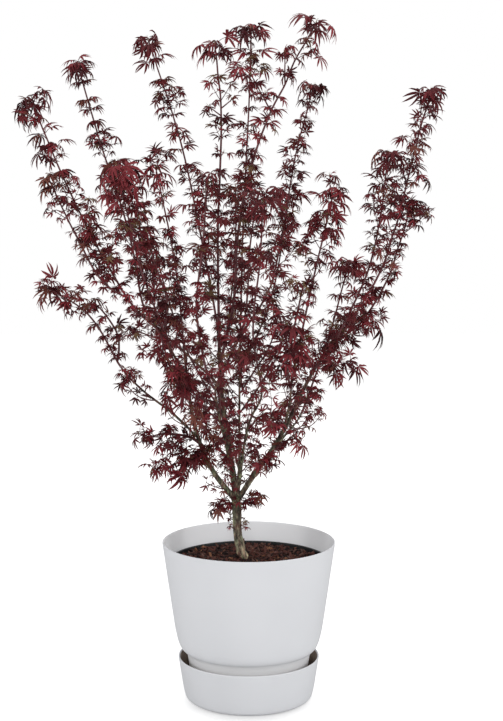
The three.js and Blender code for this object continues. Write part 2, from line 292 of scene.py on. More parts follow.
def ramp(tree, value, stops):
    """A colour ramp of (position, colour) stops read at a value socket."""
    made = node(tree, "ShaderNodeValToRGB")
    elements = made.color_ramp.elements
    while len(elements) < len(stops):
        elements.new(0.5)
    for element, (position, colour) in zip(elements, stops):
        element.position = position
        element.color = (*colour, 1)
    tree.links.new(value, made.inputs["Fac"])
    return made.outputs["Color"]


def relief(tree, shader, height, strength, distance):
    """A bump of this height socket on the shader."""
    bump = node(tree, "ShaderNodeBump", in_Strength=strength, in_Distance=distance)
    tree.links.new(height, bump.inputs["Height"])
    tree.links.new(bump.outputs["Normal"], shader.inputs["Normal"])


def spread(tree, value, low, high):
    """A value socket's range 0 to 1 spread over low to high."""
    made = node(tree, "ShaderNodeMapRange", in_3=low, in_4=high)
    tree.links.new(value, made.inputs[0])
    return made.outputs[0]


def shade(colour, amount):
    """A lighter or darker tone of a colour."""
    return tuple(min(1.0, channel * amount) for channel in colour)


# Scales of the plastic's unevenness of tone and of its grain
TONE_SCALE = 9.0
GRAIN_SCALE = 1900.0
# Heights between which the bark turns from the foot's tone to that of the young boughs
BARK_HEIGHTS = (0.24, 0.74)


def moulded_plastic(name, colour, roughness, grain):
    """Moulded plastic with a fine satin grain and a faint unevenness of tone."""
    material, tree, shader = principled(name, colour, roughness, Specular_IOR_Level=0.45)
    where = object_coordinates(tree)
    tone = noise_at(tree, where, TONE_SCALE, 2.0)
    tree.links.new(
        ramp(tree, tone, [(0.3, shade(colour, 0.985)), (0.7, shade(colour, 1.01))]),
        shader.inputs["Base Color"],
    )
    fine = noise_at(tree, where, GRAIN_SCALE, 2.0)
    tree.links.new(spread(tree, fine, roughness - 0.06, roughness + 0.08), shader.inputs["Roughness"])
    relief(tree, shader, fine, grain, 0.0002)
    return material


def bark_material(name, young, old, foot):
    """Smooth young bark: a pale foot, a mottled grey-green trunk, then darker redder boughs."""
    material, tree, shader = principled(name, old, 0.7, Specular_IOR_Level=0.25)
    where = object_coordinates(tree)
    streaks = noise_at(tree, object_coordinates(tree, (1, 1, 0.3)), 210.0, 6.0, 0.72)
    patches = noise_at(tree, object_coordinates(tree, (1, 1, 0.45)), 75.0, 5.0, 0.7)
    height = node(tree, "ShaderNodeSeparateXYZ")
    tree.links.new(where, height.inputs[0])
    rise = node(tree, "ShaderNodeMath", operation="MULTIPLY_ADD", in_1=0.10, in_2=-0.05)
    tree.links.new(patches, rise.inputs[0])
    shifted = node(tree, "ShaderNodeMath", operation="ADD")
    tree.links.new(height.outputs["Z"], shifted.inputs[0])
    tree.links.new(rise.outputs[0], shifted.inputs[1])
    low, high = BARK_HEIGHTS
    by_height = node(tree, "ShaderNodeMapRange", in_1=low, in_2=high)
    tree.links.new(shifted.outputs[0], by_height.inputs[0])
    body = ramp(
        tree,
        by_height.outputs[0],
        [
            (0.0, foot),
            (0.06, shade(old, 1.3)),
            (0.14, old),
            (0.42, shade(old, 0.75)),
            (0.8, young),
        ],
    )
    mottle = ramp(
        tree,
        streaks,
        [(0.40, (0.16, 0.13, 0.13)), (0.50, (0.80, 0.78, 0.76)), (0.62, (2.3, 2.2, 2.0))],
    )
    lichen = ramp(
        tree,
        patches,
        [(0.40, (0.50, 0.27, 0.30)), (0.50, (0.95, 0.88, 0.84)), (0.60, (1.30, 1.50, 1.20))],
    )
    socket = body
    for layer, strength in ((mottle, 0.9), (lichen, 0.95)):
        mixed = node(tree, "ShaderNodeMix", data_type="RGBA", blend_type="MULTIPLY", in_0=strength)
        tree.links.new(socket, mixed.inputs[6])
        tree.links.new(layer, mixed.inputs[7])
        socket = mixed.outputs[2]
    tree.links.new(socket, shader.inputs["Base Color"])
    tree.links.new(spread(tree, streaks, 0.55, 0.85), shader.inputs["Roughness"])
    relief(tree, shader, streaks, 0.8, 0.0014)
    return material


def wood_material(name, colour, roughness, scale):
    """Matt wood or stem with fine mottling at this scale."""
    material, tree, shader = principled(name, colour, roughness, Specular_IOR_Level=0.3)
    value = noise_at(tree, object_coordinates(tree), scale, 3.0)
    tree.links.new(
        ramp(tree, value, [(0.3, shade(colour, 0.62)), (0.72, shade(colour, 1.4))]),
        shader.inputs["Base Color"],
    )
    relief(tree, shader, value, 0.6, 0.0008)
    return material


def leaf_material(name, colour):
    """A leaf's plain colour with a faint gloss."""
    return principled(name, colour, 0.55, Specular_IOR_Level=0.15)[0]


# ---------------------------------------------------------------- meshes


def linked(name, data):
    """A new object in the scene that holds this data."""
    made = bpy.data.objects.new(name, data)
    bpy.context.scene.collection.objects.link(made)
    return made


def evaluated_mesh(piece):
    """A mesh of the piece as its curve or its modifiers make it."""
    depsgraph = bpy.context.evaluated_depsgraph_get()
    return bpy.data.meshes.new_from_object(piece.evaluated_get(depsgraph))


def dressed(mesh, material, smooth=True):
    """The mesh with one material and its faces shaded smooth or flat."""
    mesh.materials.clear()
    mesh.materials.append(material)
    mesh.polygons.foreach_set("use_smooth", [smooth] * len(mesh.polygons))
    return mesh


def mesh_of(name, bm):
    """A mesh from a bmesh, and the bmesh is freed."""
    mesh = bpy.data.meshes.new(name)
    bm.to_mesh(mesh)
    bm.free()
    return mesh


def add_piece(name, source, material, smooth=True):
    """A mesh object at the origin, riding on the body, from a bmesh or a mesh."""
    mesh = mesh_of(name, source) if isinstance(source, bmesh.types.BMesh) else source
    mesh.name = name
    piece = linked(name, dressed(mesh, material, smooth))
    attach(piece, BODY)
    return piece


def rounded(corners, steps=5):
    """[radius, height] points of a profile whose corners (radius, height, rounding) are eased."""
    points = []
    count = len(corners)
    for i, (r, z, ease) in enumerate(corners):
        here = Vector((r, z))
        if ease <= 0 or i in (0, count - 1):
            points.append(here)
            continue
        back = Vector(corners[i - 1][:2]) - here
        ahead = Vector(corners[i + 1][:2]) - here
        start = here + back.normalized() * min(ease, back.length * 0.49)
        end = here + ahead.normalized() * min(ease, ahead.length * 0.49)
        for k in range(steps + 1):
            t = k / steps
            points.append(start * (1 - t) ** 2 + here * 2 * t * (1 - t) + end * t * t)
    return points


def turned(profile, steps=ROUND_STEPS):
    """A bmesh made by spinning a profile of (radius, height) points round the Z axis."""
    bm = bmesh.new()
    verts = [bm.verts.new((point[0], 0, point[1])) for point in profile]
    edges = [bm.edges.new(pair) for pair in zip(verts, verts[1:])]
    bmesh.ops.spin(
        bm,
        geom=verts + edges,
        cent=(0, 0, 0),
        axis=UP,
        angle=math.tau,
        steps=steps,
        use_merge=True,
    )
    bmesh.ops.remove_doubles(bm, verts=bm.verts, dist=1e-6)
    bmesh.ops.recalc_face_normals(bm, faces=bm.faces)
    return bm


def swept(name, strands, material, sides=1):
    """One mesh of round tubes. A strand is a list of (point, radius); sides is the bevel's."""
    curve = bpy.data.curves.new(name, "CURVE")
    curve.dimensions = "3D"
    curve.bevel_depth = 1.0
    curve.bevel_resolution = sides
    curve.use_fill_caps = True
    for strand in strands:
        spline = curve.splines.new("POLY")
        spline.points.add(len(strand) - 1)
        flat = np.ones((len(strand), 4))
        flat[:, :3] = [point[:] for point, _radius in strand]
        spline.points.foreach_set("co", flat.ravel())
        spline.points.foreach_set("radius", [radius for _point, radius in strand])
    holder = linked(name, curve)
    mesh = evaluated_mesh(holder)
    bpy.data.objects.remove(holder)
    bpy.data.curves.remove(curve)
    return add_piece(name, mesh, material)


def triangles_of(bm):
    """The vertices and the triangles of a bmesh as arrays, and the bmesh is freed."""
    bmesh.ops.triangulate(bm, faces=bm.faces)
    bm.verts.index_update()
    points = np.array([vert.co[:] for vert in bm.verts])
    faces = np.array([[vert.index for vert in face.verts] for face in bm.faces])
    bm.free()
    return points, faces


def scattered(name, shapes, places, material, smooth=True):
    """One mesh of many copies. A place is (shape number, 3x3 turn and scale, point)."""
    all_points, all_faces, start = [], [], 0
    for number, (points, faces) in enumerate(shapes):
        here = [(turn, point) for shape, turn, point in places if shape == number]
        if not here:
            continue
        turns = np.array([np.array(turn) for turn, _point in here])
        origins = np.array([point[:] for _turn, point in here])
        copies = np.einsum("nij,vj->nvi", turns, points) + origins[:, None, :]
        offsets = start + np.arange(len(here)) * len(points)
        all_points.append(copies.reshape(-1, 3))
        all_faces.append((faces[None, :, :] + offsets[:, None, None]).reshape(-1, 3))
        start += len(here) * len(points)
    points = np.concatenate(all_points)
    faces = np.concatenate(all_faces)
    mesh = bpy.data.meshes.new(name)
    mesh.vertices.add(len(points))
    mesh.vertices.foreach_set("co", points.ravel())
    mesh.loops.add(faces.size)
    mesh.loops.foreach_set("vertex_index", faces.ravel().astype(np.int32))
    mesh.polygons.add(len(faces))
    mesh.polygons.foreach_set("loop_start", np.arange(0, faces.size, 3, dtype=np.int32))
    mesh.update(calc_edges=True)
    mesh.validate()
    return add_piece(name, mesh, material, smooth)


# ---------------------------------------------------------------- the pots

# Rounding of a moulded rim
LIP = 0.0012
# The planter's neck, its belly above the shoulder, and the plate inside that has a water hole
NECK_RADIUS = 0.1035
NECK_INNER_RADIUS = 0.101
# Below NECK_TOP the planter's outside also takes the lighter tone: painted light on the neck that the
# shoulder shades
NECK_TOP = 0.088
BELLY_HEIGHT = 0.119
PLATE_BOTTOM = 0.096
PLATE_TOP = 0.099
WATER_HOLE_RADIUS = 0.015
# The saucer's floor, and the height at which its wall leaves the rounded foot
SAUCER_FLOOR = 0.003
SAUCER_FOOT = 0.014
# How far below the saucer's rim the dark painted shade inside it begins
PAINTED_SHADE_DEPTH = 0.004
# The nursery pot's rim band, its wall above the band, its floor and the hole in it
BAND_HEIGHT = 0.007
BAND_INNER_RADIUS = 0.1350
NURSERY_FLOOR = 0.002
DRAIN_HOLE_RADIUS = 0.012


def lip(rim, top, crest, wall):
    """Corners of a rounded rim whose crest and inner edge lie this far inside its radius."""
    low = top - LIP
    return [(rim, low, LIP), (rim - crest, top, LIP), (rim - wall, low, LIP)]


def faces_axis(face):
    """Whether a face of a turned piece looks towards the axis."""
    return face.normal.x * face.center.x + face.normal.y * face.center.y < 0


def mark_faces(mesh, material, chosen):
    """Gives a second material to the faces that the test chooses."""
    mesh.materials.append(material)
    for face in mesh.polygons:
        if chosen(face):
            face.material_index = 1


class MAPLE_OT_planter(Operator):
    """Build the white planter that stands in the saucer"""

    bl_idname = "maple.planter"
    bl_label = "Planter"

    def execute(self, context):
        pot = context.scene.maple_pot
        top, foot = pot.planter_top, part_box("planter")[0].z
        profile = rounded(
            [
                (NECK_RADIUS, foot, 0),
                (0.1042, 0.060, 0.010),
                (0.1080, 0.0835, 0.010),
                (0.1205, 0.0925, 0.014),
                (0.1278, BELLY_HEIGHT, 0.026),
                *lip(pot.rim_radius, top, 0.0014, 0.0030),
                (0.1243, BELLY_HEIGHT, 0.010),
                (0.115, PLATE_TOP, 0.010),
                (WATER_HOLE_RADIUS, PLATE_TOP, 0.001),
                (WATER_HOLE_RADIUS, PLATE_BOTTOM, 0.001),
                (NECK_INNER_RADIUS, PLATE_BOTTOM, 0.003),
                (NECK_INNER_RADIUS, foot, 0.001),
                (NECK_RADIUS, foot, 0),
            ],
            steps=7,
        )
        white = moulded_plastic("planter_plastic", tuple(pot.plastic), 0.42, 0.12)
        # Lighter tone for the inside and the neck: painted light
        painted_light_skin = moulded_plastic("planter_painted_light", tuple(pot.painted_light_plastic), 0.5, 0.12)
        piece = add_piece("planter_body", turned(profile), white)

        # Faces inside below the rim, and all faces below the neck's top, get the painted light tone
        def is_painted_lighter(face):
            inside = faces_axis(face) and face.center.z < top - 0.001
            return inside or face.center.z < NECK_TOP

        mark_faces(piece.data, painted_light_skin, is_painted_lighter)
        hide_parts("planter")
        return {"FINISHED"}


class MAPLE_OT_saucer(Operator):
    """Build the water saucer under the planter"""

    bl_idname = "maple.saucer"
    bl_label = "Saucer"

    def execute(self, context):
        pot = context.scene.maple_pot
        top = pot.saucer_top
        profile = rounded(
            [
                (0, 0, 0),
                (0.1095, 0, 0.009),
                (0.1138, SAUCER_FOOT, 0.012),
                *lip(pot.saucer_radius, top, 0.0013, 0.0028),
                (0.1110, SAUCER_FOOT, 0.006),
                (0.106, SAUCER_FLOOR, 0.004),
                (0, SAUCER_FLOOR, 0),
            ],
            steps=7,
        )
        white = moulded_plastic("saucer_plastic", shade(tuple(pot.plastic), 0.985), 0.40, 0.12)
        # Dark tone for the saucer's inside: painted shade
        mark = wood_material("painted_shade_mark", tuple(pot.painted_shade_mark), 0.6, 120.0)
        piece = add_piece("saucer_dish", turned(profile), white)

        # The saucer's inner wall and floor below the rim get the painted shade
        def is_painted_shade(face):
            inside = faces_axis(face) or face.normal.z > 0.5
            return inside and face.center.z < top - PAINTED_SHADE_DEPTH

        mark_faces(piece.data, mark, is_painted_shade)
        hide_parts("saucer")
        return {"FINISHED"}


class MAPLE_OT_nursery_pot(Operator):
    """Build the thin black pot that the maple was sold in"""

    bl_idname = "maple.nursery_pot"
    bl_label = "Nursery pot"

    def execute(self, context):
        pot = context.scene.maple_pot
        low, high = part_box("nursery_pot")
        rim, top, foot = high.x, high.z, low.z
        band, floor = top - BAND_HEIGHT, foot + NURSERY_FLOOR
        profile = rounded(
            [
                (DRAIN_HOLE_RADIUS, foot, 0),
                (0.112, foot, 0.002),
                (0.1366, band, 0.0006),
                (rim, band, 0.0012),
                (rim, top, 0.0012),
                (BAND_INNER_RADIUS, top, 0.0008),
                (BAND_INNER_RADIUS, band, 0.0006),
                (0.1104, floor, 0.002),
                (DRAIN_HOLE_RADIUS, floor, 0),
                (DRAIN_HOLE_RADIUS, foot, 0),
            ],
            steps=4,
        )
        black = moulded_plastic("nursery_plastic", tuple(pot.nursery_plastic), 0.48, 0.25)
        piece = add_piece("nursery_pot_wall", turned(profile), black)
        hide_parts("nursery_pot")
        return {"FINISHED"}


# ---------------------------------------------------------------- the mulch

# Colour and share of the chips of each tone
MULCH_TONES = {
    "mulch_red_brown": ((0.100, 0.034, 0.026), 0.43),
    "mulch_dark": ((0.020, 0.009, 0.008), 0.40),
    "mulch_tan": ((0.250, 0.110, 0.060), 0.05),
    "mulch_grey_brown": ((0.140, 0.072, 0.056), 0.12),
}
# Height of the mulch at the pot's wall, the level stretch round the trunk, and the slope's width
MULCH_EDGE = 0.2365
MULCH_LEVEL = 0.034
MULCH_SLOPE = 0.1
SLOPE_POWER = 1.7
SLOPE_STEPS = 24
# How deep the compost lies under the chips, and how uneven it is
CHIP_BED = 0.0035
COMPOST_LUMPS = 0.0022
COMPOST_FOOT_RADIUS = 0.110
COMPOST_SIDES = 72
CHIP_SHAPES = 12
CHIP_SIZES = (0.55, 0.8, 1.0, 1.0, 1.35, 1.7)
# The trunk's foot, and the room that the chips leave round it and at the pot's wall
TRUNK_FOOT = Vector((-0.010, 0, 0))
TRUNK_ROOM = 0.013
WALL_ROOM = 0.004


def mulch_height(radius):
    """Height of the compost's surface at this distance from the axis."""
    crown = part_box("root_ball")[1].z
    share = min(1.0, max(0.0, (radius - MULCH_LEVEL) / MULCH_SLOPE))
    return crown - (crown - MULCH_EDGE) * share**SLOPE_POWER - CHIP_BED


def chip_shape(rng):
    """A splintered flake of bark, one unit long."""
    bm = bmesh.new()
    bmesh.ops.create_cube(bm, size=1)
    bmesh.ops.scale(bm, verts=bm.verts, vec=(1, rng.uniform(0.13, 0.32), rng.uniform(0.07, 0.14)))
    lengthwise = [edge for edge in bm.edges if abs(edge.verts[0].co.x - edge.verts[1].co.x) > 0.5]
    bmesh.ops.subdivide_edges(bm, edges=lengthwise, cuts=1)
    for vert in bm.verts:
        vert.co.x += rng.uniform(-0.14, 0.14)
        vert.co.y *= rng.uniform(0.35, 1.1)
        vert.co.z += rng.uniform(-0.04, 0.04)
    bmesh.ops.recalc_face_normals(bm, faces=bm.faces)
    return triangles_of(bm)


class MAPLE_OT_mulch(Operator):
    """Build the compost and the bark chips over it"""

    bl_idname = "maple.mulch"
    bl_label = "Compost and mulch"

    def execute(self, context):
        pot = context.scene.maple_pot
        low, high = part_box("root_ball")
        self.build_compost(low.z, high.x)
        rng = random.Random(pot.mulch_seed)
        shapes = [chip_shape(rng) for _ in range(CHIP_SHAPES)]
        places = self.strewn(rng, pot.chips, pot.chip_length, high.x - WALL_ROOM)
        for tone, (colour, _share) in MULCH_TONES.items():
            bark = wood_material(tone + "_bark", colour, 0.85, 420.0)
            chips = scattered(tone, shapes, places[tone], bark, False)
        return {"FINISHED"}

    def build_compost(self, foot, shoulder):
        """The compost that fills the nursery pot up to this radius."""
        radii = [shoulder * (1 - k / SLOPE_STEPS) for k in range(SLOPE_STEPS)] + [0]
        profile = [(0, foot), (COMPOST_FOOT_RADIUS, foot)]
        profile += [(radius, mulch_height(radius)) for radius in radii]
        bm = turned(profile, COMPOST_SIDES)
        for vert in bm.verts:
            if vert.co.z > mulch_height(shoulder) + 0.0005:
                vert.co.z += COMPOST_LUMPS * noise.noise(vert.co * 90)
        earth = wood_material("compost_dark", (0.022, 0.013, 0.010), 0.95, 260.0)
        ball = add_piece("compost_ball", bm, earth)
        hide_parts("root_ball")

    def strewn(self, rng, count, chip_length, wall):
        """The places of the chips by tone, each (shape number, turn and scale, point)."""
        places = {tone: [] for tone in MULCH_TONES}
        weights = [share for _colour, share in MULCH_TONES.values()]
        while sum(map(len, places.values())) < count:
            radius = wall * math.sqrt(rng.random())
            angle = rng.uniform(0, math.tau)
            length = chip_length * rng.choice(CHIP_SIZES) * rng.uniform(0.8, 1.2)
            point = Vector((radius * math.cos(angle), radius * math.sin(angle), 0))
            if (point - TRUNK_FOOT).length < TRUNK_ROOM + length * 0.3:
                continue
            if radius + length * 0.45 > wall + 0.003:
                continue
            point.z = mulch_height(radius) + rng.uniform(0.0003, 0.0058)
            lie = Matrix.Rotation(rng.uniform(0, math.tau), 3, "Z")
            pitch = Matrix.Rotation(rng.gauss(0, 0.36), 3, "Y")
            roll = Matrix.Rotation(rng.gauss(0, 0.45), 3, "X")
            tone = rng.choices(list(MULCH_TONES), weights)[0]
            turn = (lie @ (pitch @ roll)) * length
            places[tone].append((rng.randrange(CHIP_SHAPES), turn, point))
        return places


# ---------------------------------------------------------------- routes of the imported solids


# Distances between the stops of a route, and the share of a solid's length left out at its ends
LIMB_STEP = 0.004
SHOOT_STEP = 0.006
END_SHARE = 0.015
CURVE_STEPS = 8


def node_arrays(name):
    """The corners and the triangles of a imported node."""
    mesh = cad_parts[name].data
    points = np.empty(len(mesh.vertices) * 3)
    mesh.vertices.foreach_get("co", points)
    mesh.calc_loop_triangles()
    faces = np.empty(len(mesh.loop_triangles) * 3, dtype=np.int32)
    mesh.loop_triangles.foreach_get("vertices", faces)
    return points.reshape(-1, 3), faces.reshape(-1, 3)


def cuts_at(points, faces, side):
    """The line in which a plane cuts each triangle that it crosses, as two points.

    side is each corner's distance from the plane.
    """
    spots, crossings = [], []
    for i, j in ((0, 1), (1, 2), (2, 0)):
        crosses = (side[:, i] > 0) != (side[:, j] > 0)
        t = np.where(crosses, side[:, i] / np.where(crosses, side[:, i] - side[:, j], 1), 0)
        a, b = points[faces[:, i]], points[faces[:, j]]
        spots.append(np.where(crosses[:, None], a + (b - a) * t[:, None], np.nan))
        crossings.append(crosses)
    cut = np.stack(crossings, 1).sum(1) == 2
    return np.array([row[~np.isnan(row[:, 0])] for row in np.stack(spots, 1)[cut]])


def measured_route(name, near, step):
    """[(point, radius)] along a node's solid, from its end nearest to a point of the list near."""
    points, faces = node_arrays(name)
    gaps = ((points[:, None, :] - points[None, :, :]) ** 2).sum(-1)
    ends = points[list(np.unravel_index(gaps.argmax(), gaps.shape))]
    reach = [min((Vector(end) - other).length for other in near) for end in ends]
    foot, tip = (ends[0], ends[1]) if reach[0] <= reach[1] else (ends[1], ends[0])
    axis = tip - foot
    length = float(np.linalg.norm(axis))
    axis /= length
    along = (points - foot) @ axis
    count = max(3, round(length / step))
    route = []
    for k in range(count + 1):
        level = length * min(1 - END_SHARE, max(END_SHARE, k / count))
        cuts = cuts_at(points, faces, along[faces] - level)
        if not len(cuts):
            continue
        middle = cuts.mean(1)
        weight = np.linalg.norm(cuts[:, 0] - cuts[:, 1], axis=1) + 1e-12
        centre = (middle * weight[:, None]).sum(0) / weight.sum()
        radius = (np.linalg.norm(middle - centre, axis=1) * weight).sum() / weight.sum()
        route.append((Vector(centre), float(radius)))
    return route


def eased(route, passes=2):
    """A route whose points are evened out between its ends."""
    for _ in range(passes):
        route = [route[0]] + [
            ((a[0] + b[0] * 2 + c[0]) / 4, (a[1] + b[1] * 2 + c[1]) / 4)
            for a, b, c in zip(route, route[1:], route[2:])
        ] + [route[-1]]
    return route


def resampled(route, step):
    """A route with points at even distances of about this step, on a smooth curve."""
    points = [point for point, _radius in route]
    radii = [radius for _point, radius in route]
    dense = []
    for i in range(len(points) - 1):
        p0, p1, p2, p3 = (points[max(0, min(len(points) - 1, i + k))] for k in (-1, 0, 1, 2))
        for k in range(CURVE_STEPS):
            t = k / CURVE_STEPS
            place = 0.5 * (
                p1 * 2 + (p2 - p0) * t + (p0 * 2 - p1 * 5 + p2 * 4 - p3) * t * t
                + (p1 * 3 - p0 - p2 * 3 + p3) * t**3
            )
            dense.append((place, radii[i] * (1 - t) + radii[i + 1] * t))
    dense.append((points[-1], radii[-1]))
    made, since = [dense[0]], 0.0
    for (a, _ra), (b, rb) in zip(dense, dense[1:]):
        since += (b - a).length
        if since >= step:
            made.append((b, rb))
            since = 0.0
    if (made[-1][0] - dense[-1][0]).length > step * 0.4:
        made.append(dense[-1])
    return made


def nearest(route, point):
    """The number of the route's stop that lies nearest to a point."""
    return min(range(len(route)), key=lambda i: (route[i][0] - point).length)


def distances(route):
    """How far along a route each of its stops lies."""
    made = [0.0]
    for (back, _radius), (point, _next_radius) in zip(route, route[1:]):
        made.append(made[-1] + (point - back).length)
    return made


def joined_smoothly(bough, shoot, reach=0.05, passes=24):
    """The two routes with the corner between them eased over this reach to either side."""
    route = bough + shoot
    joint = (bough[-1][0] + shoot[0][0]) / 2
    loose = [i for i in range(1, len(route) - 1) if (route[i][0] - joint).length < reach]
    for _ in range(passes):
        moved = {i: (route[i - 1][0] + route[i + 1][0]) / 2 for i in loose}
        for i, point in moved.items():
            route[i] = (point, route[i][1])
    return route[: len(bough)], route[len(bough) :]


def plant_routes():
    """The routes of the limbs and of the masses. A shoot that ends a bough runs on from it."""
    limbs = limb_routes()
    near = [point for route in limbs.values() for point, _radius in route[::3]]
    masses = {
        name: resampled(eased(measured_route(name, near, 0.016), 1), SHOOT_STEP) for name in MASSES
    }
    for bough in BOUGH_PARENTS:
        tip = limbs[bough][-1][0]
        gap, name = min(((route[0][0] - tip).length, name) for name, route in masses.items())
        if gap < END_JOINT:
            limbs[bough], masses[name] = joined_smoothly(limbs[bough], masses[name])
            masses[name] = [limbs[bough][-1]] + masses[name]
    return limbs, masses


def limb_routes():
    """The routes of the trunk and the boughs, each bough starting inside its parent."""
    trunk = measured_route("trunk", [Vector((0, 0, 0))], 0.012)
    routes = {"trunk": resampled(trunk, LIMB_STEP)}
    for name, parent in BOUGH_PARENTS.items():
        host = routes[parent]
        route = eased(measured_route(name, [point for point, _r in host], 0.018))
        fuller = FULLER.get(name, ROUND_OUT)
        route = [(point, radius * fuller) for point, radius in route]
        start, host_radius = host[nearest(host, route[0][0] - UP * 0.006)]
        start_radius = min(route[0][1] * 1.2, host_radius * 0.9)
        routes[name] = resampled([(start, start_radius)] + route, LIMB_STEP)
    return routes


# ---------------------------------------------------------------- the limbs

# How much a bough swells where it leaves its parent, and the distance over which that fades
COLLAR_SWELL = 0.30
COLLAR_REACH = 0.014
BARK_VOXEL = 0.00095
PALE_FOOT = (0.48, 0.43, 0.31)
# The bark's relief: scales of the ridges and the lumps, how high the rough foot reaches, and the
# fold that crosses it in front
RIDGES_ACROSS, RIDGES_ALONG = 420, 60
LUMPS = 110
ROUGH_HEIGHT = 0.11
FOLD_DEPTH = 0.0013
FOLD_WIDTH = 0.0016


class MAPLE_OT_limbs(Operator):
    """Build the trunk and the boughs with the relief of their bark"""

    bl_idname = "maple.limbs"
    bl_label = "Trunk and boughs"

    def execute(self, context):
        tree = context.scene.maple_tree
        routes, _masses = plant_routes()
        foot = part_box("trunk")[0].z
        lowest, radius = routes["trunk"][0]
        cut_end = (Vector((lowest.x + 0.001, lowest.y, foot)), radius * 1.06)
        strands = [[cut_end] + routes.pop("trunk")]
        strands += [self.with_collar(route) for route in routes.values()]
        bark = bark_material("maple_bark", tuple(tree.young_bark), tuple(tree.bark), PALE_FOOT)
        piece = swept("trunk_and_boughs", strands, bark, sides=3)
        remesh = piece.modifiers.new("blend_joints", "REMESH")
        remesh.mode = "VOXEL"
        remesh.voxel_size = BARK_VOXEL
        even = piece.modifiers.new("even", "SMOOTH")
        even.iterations = 4
        even.factor = 0.5
        mesh = evaluated_mesh(piece)
        piece.modifiers.clear()
        self.carve_bark(mesh, foot)
        piece.data = dressed(mesh, bark)
        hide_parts("trunk", *BOUGH_PARENTS)
        return {"FINISHED"}

    def with_collar(self, route):
        """A bough's route, swollen where it leaves its parent."""
        return [
            (point, radius * (1 + COLLAR_SWELL * math.exp(-travelled / COLLAR_REACH)))
            for (point, radius), travelled in zip(route, distances(route))
        ]

    def carve_bark(self, mesh, foot):
        """Moves the bark in and out along its normals: ridges, lumps and a fold at the foot."""
        count = len(mesh.vertices)
        points = np.empty(count * 3)
        normals = np.empty(count * 3)
        mesh.vertices.foreach_get("co", points)
        mesh.vertex_normals.foreach_get("vector", normals)
        points, normals = points.reshape(-1, 3), normals.reshape(-1, 3)
        grain = Vector((RIDGES_ACROSS, RIDGES_ACROSS, RIDGES_ALONG))
        for i in range(count):
            place = Vector(points[i])
            ridges = noise.noise(place * grain)
            lumps = noise.noise(place * LUMPS)
            low = max(0.0, 1 - (place.z - foot) / ROUGH_HEIGHT)
            rise = (0.00013 + 0.00040 * low) * ridges + (0.00018 + 0.0006 * low) * lumps
            across = (place.x + 0.012) * 0.85 + (place.z - foot - 0.026) * 0.55
            if place.y < 0 and low > 0:
                rise -= FOLD_DEPTH * math.exp(-((across / FOLD_WIDTH) ** 2)) * min(1, low * 1.6)
            points[i] += normals[i] * rise
        points[:, 2] = np.maximum(points[:, 2], foot)
        mesh.vertices.foreach_set("co", points.ravel())
        mesh.update()


# ---------------------------------------------------------------- the foliage

# Colour and share of each tone of leaf
LEAF_TONES = {
    "leaves_blackish": ((0.062, 0.0110, 0.0135), 0.17),
    "leaves_dark_wine": ((0.100, 0.0138, 0.0175), 0.23),
    "leaves_maroon": ((0.138, 0.0195, 0.0240), 0.22),
    "leaves_burgundy": ((0.190, 0.0255, 0.0320), 0.17),
    "leaves_crimson": ((0.245, 0.0320, 0.0415), 0.08),
    "leaves_brown": ((0.160, 0.0500, 0.0370), 0.10),
    "leaves_bronze": ((0.170, 0.1000, 0.0520), 0.03),
}
# How closely each mass is set with nodes, its leaves' size, and how many thinner shoots run
# beside it
COMMON_HABIT = (1.0, 1.0, 1)
HABITS = {
    "top": (0.85, 1.0, 0),
    "top_middle": (0.80, 1.05, 0),
    "top_left": (0.85, 1.05, 0),
    "high_right": (0.95, 1.0, 1),
    "front_tall": (0.75, 0.95, 0),
    "front_right_tall": (0.65, 0.95, 0),
    "back": (0.72, 0.95, 0),
    "back_left": (0.75, 0.95, 1),
    "back_right": (0.85, 1.0, 0),
    "right_inner": (0.85, 1.0, 0),
    "right_outer": (0.9, 1.05, 0),
    "right_side": (1.1, 1.05, 0),
    "far_right": (1.0, 1.0, 1),
    "left_cloud": (1.0, 1.15, 1),
    "left_inner": (0.9, 1.0, 0),
    "far_left": (1.10, 1.05, 1),
    "left_tall": (1.15, 1.05, 1),
    "left_front": (1.7, 1.05, 0),
    "low_left": (1.10, 1.10, 1),
    "low_left_inner": (0.90, 0.95, 0),
    "left_middle": (1.3, 1.1, 0),
    "lowest_left": (2.3, 1.15, 1),
    "spray_left": (1.8, 1.15, 1),
    "spray_right": (1.3, 1.0, 0),
    "right_middle": (1.1, 1.0, 1),
    "right_front": (1.0, 1.1, 0),
    "centre_low": (0.55, 0.85, 0),
    "front_low_left": (0.55, 0.95, 0),
    "front_low": (0.5, 0.85, 0),
    "right_foot": (0.7, 0.9, 0),
    "spray_back": (0.35, 0.9, 0),
    "back_low_left": (0.8, 1.0, 0),
    "back_low_right": (0.6, 1.0, 0),
    "right_hanging": (1.5, 1.0, 1),
    "right_low": (1.0, 1.05, 0),
    "tuft_left": (4.0, 1.2, 0),
    "tuft_right": (2.5, 1.0, 0),
}
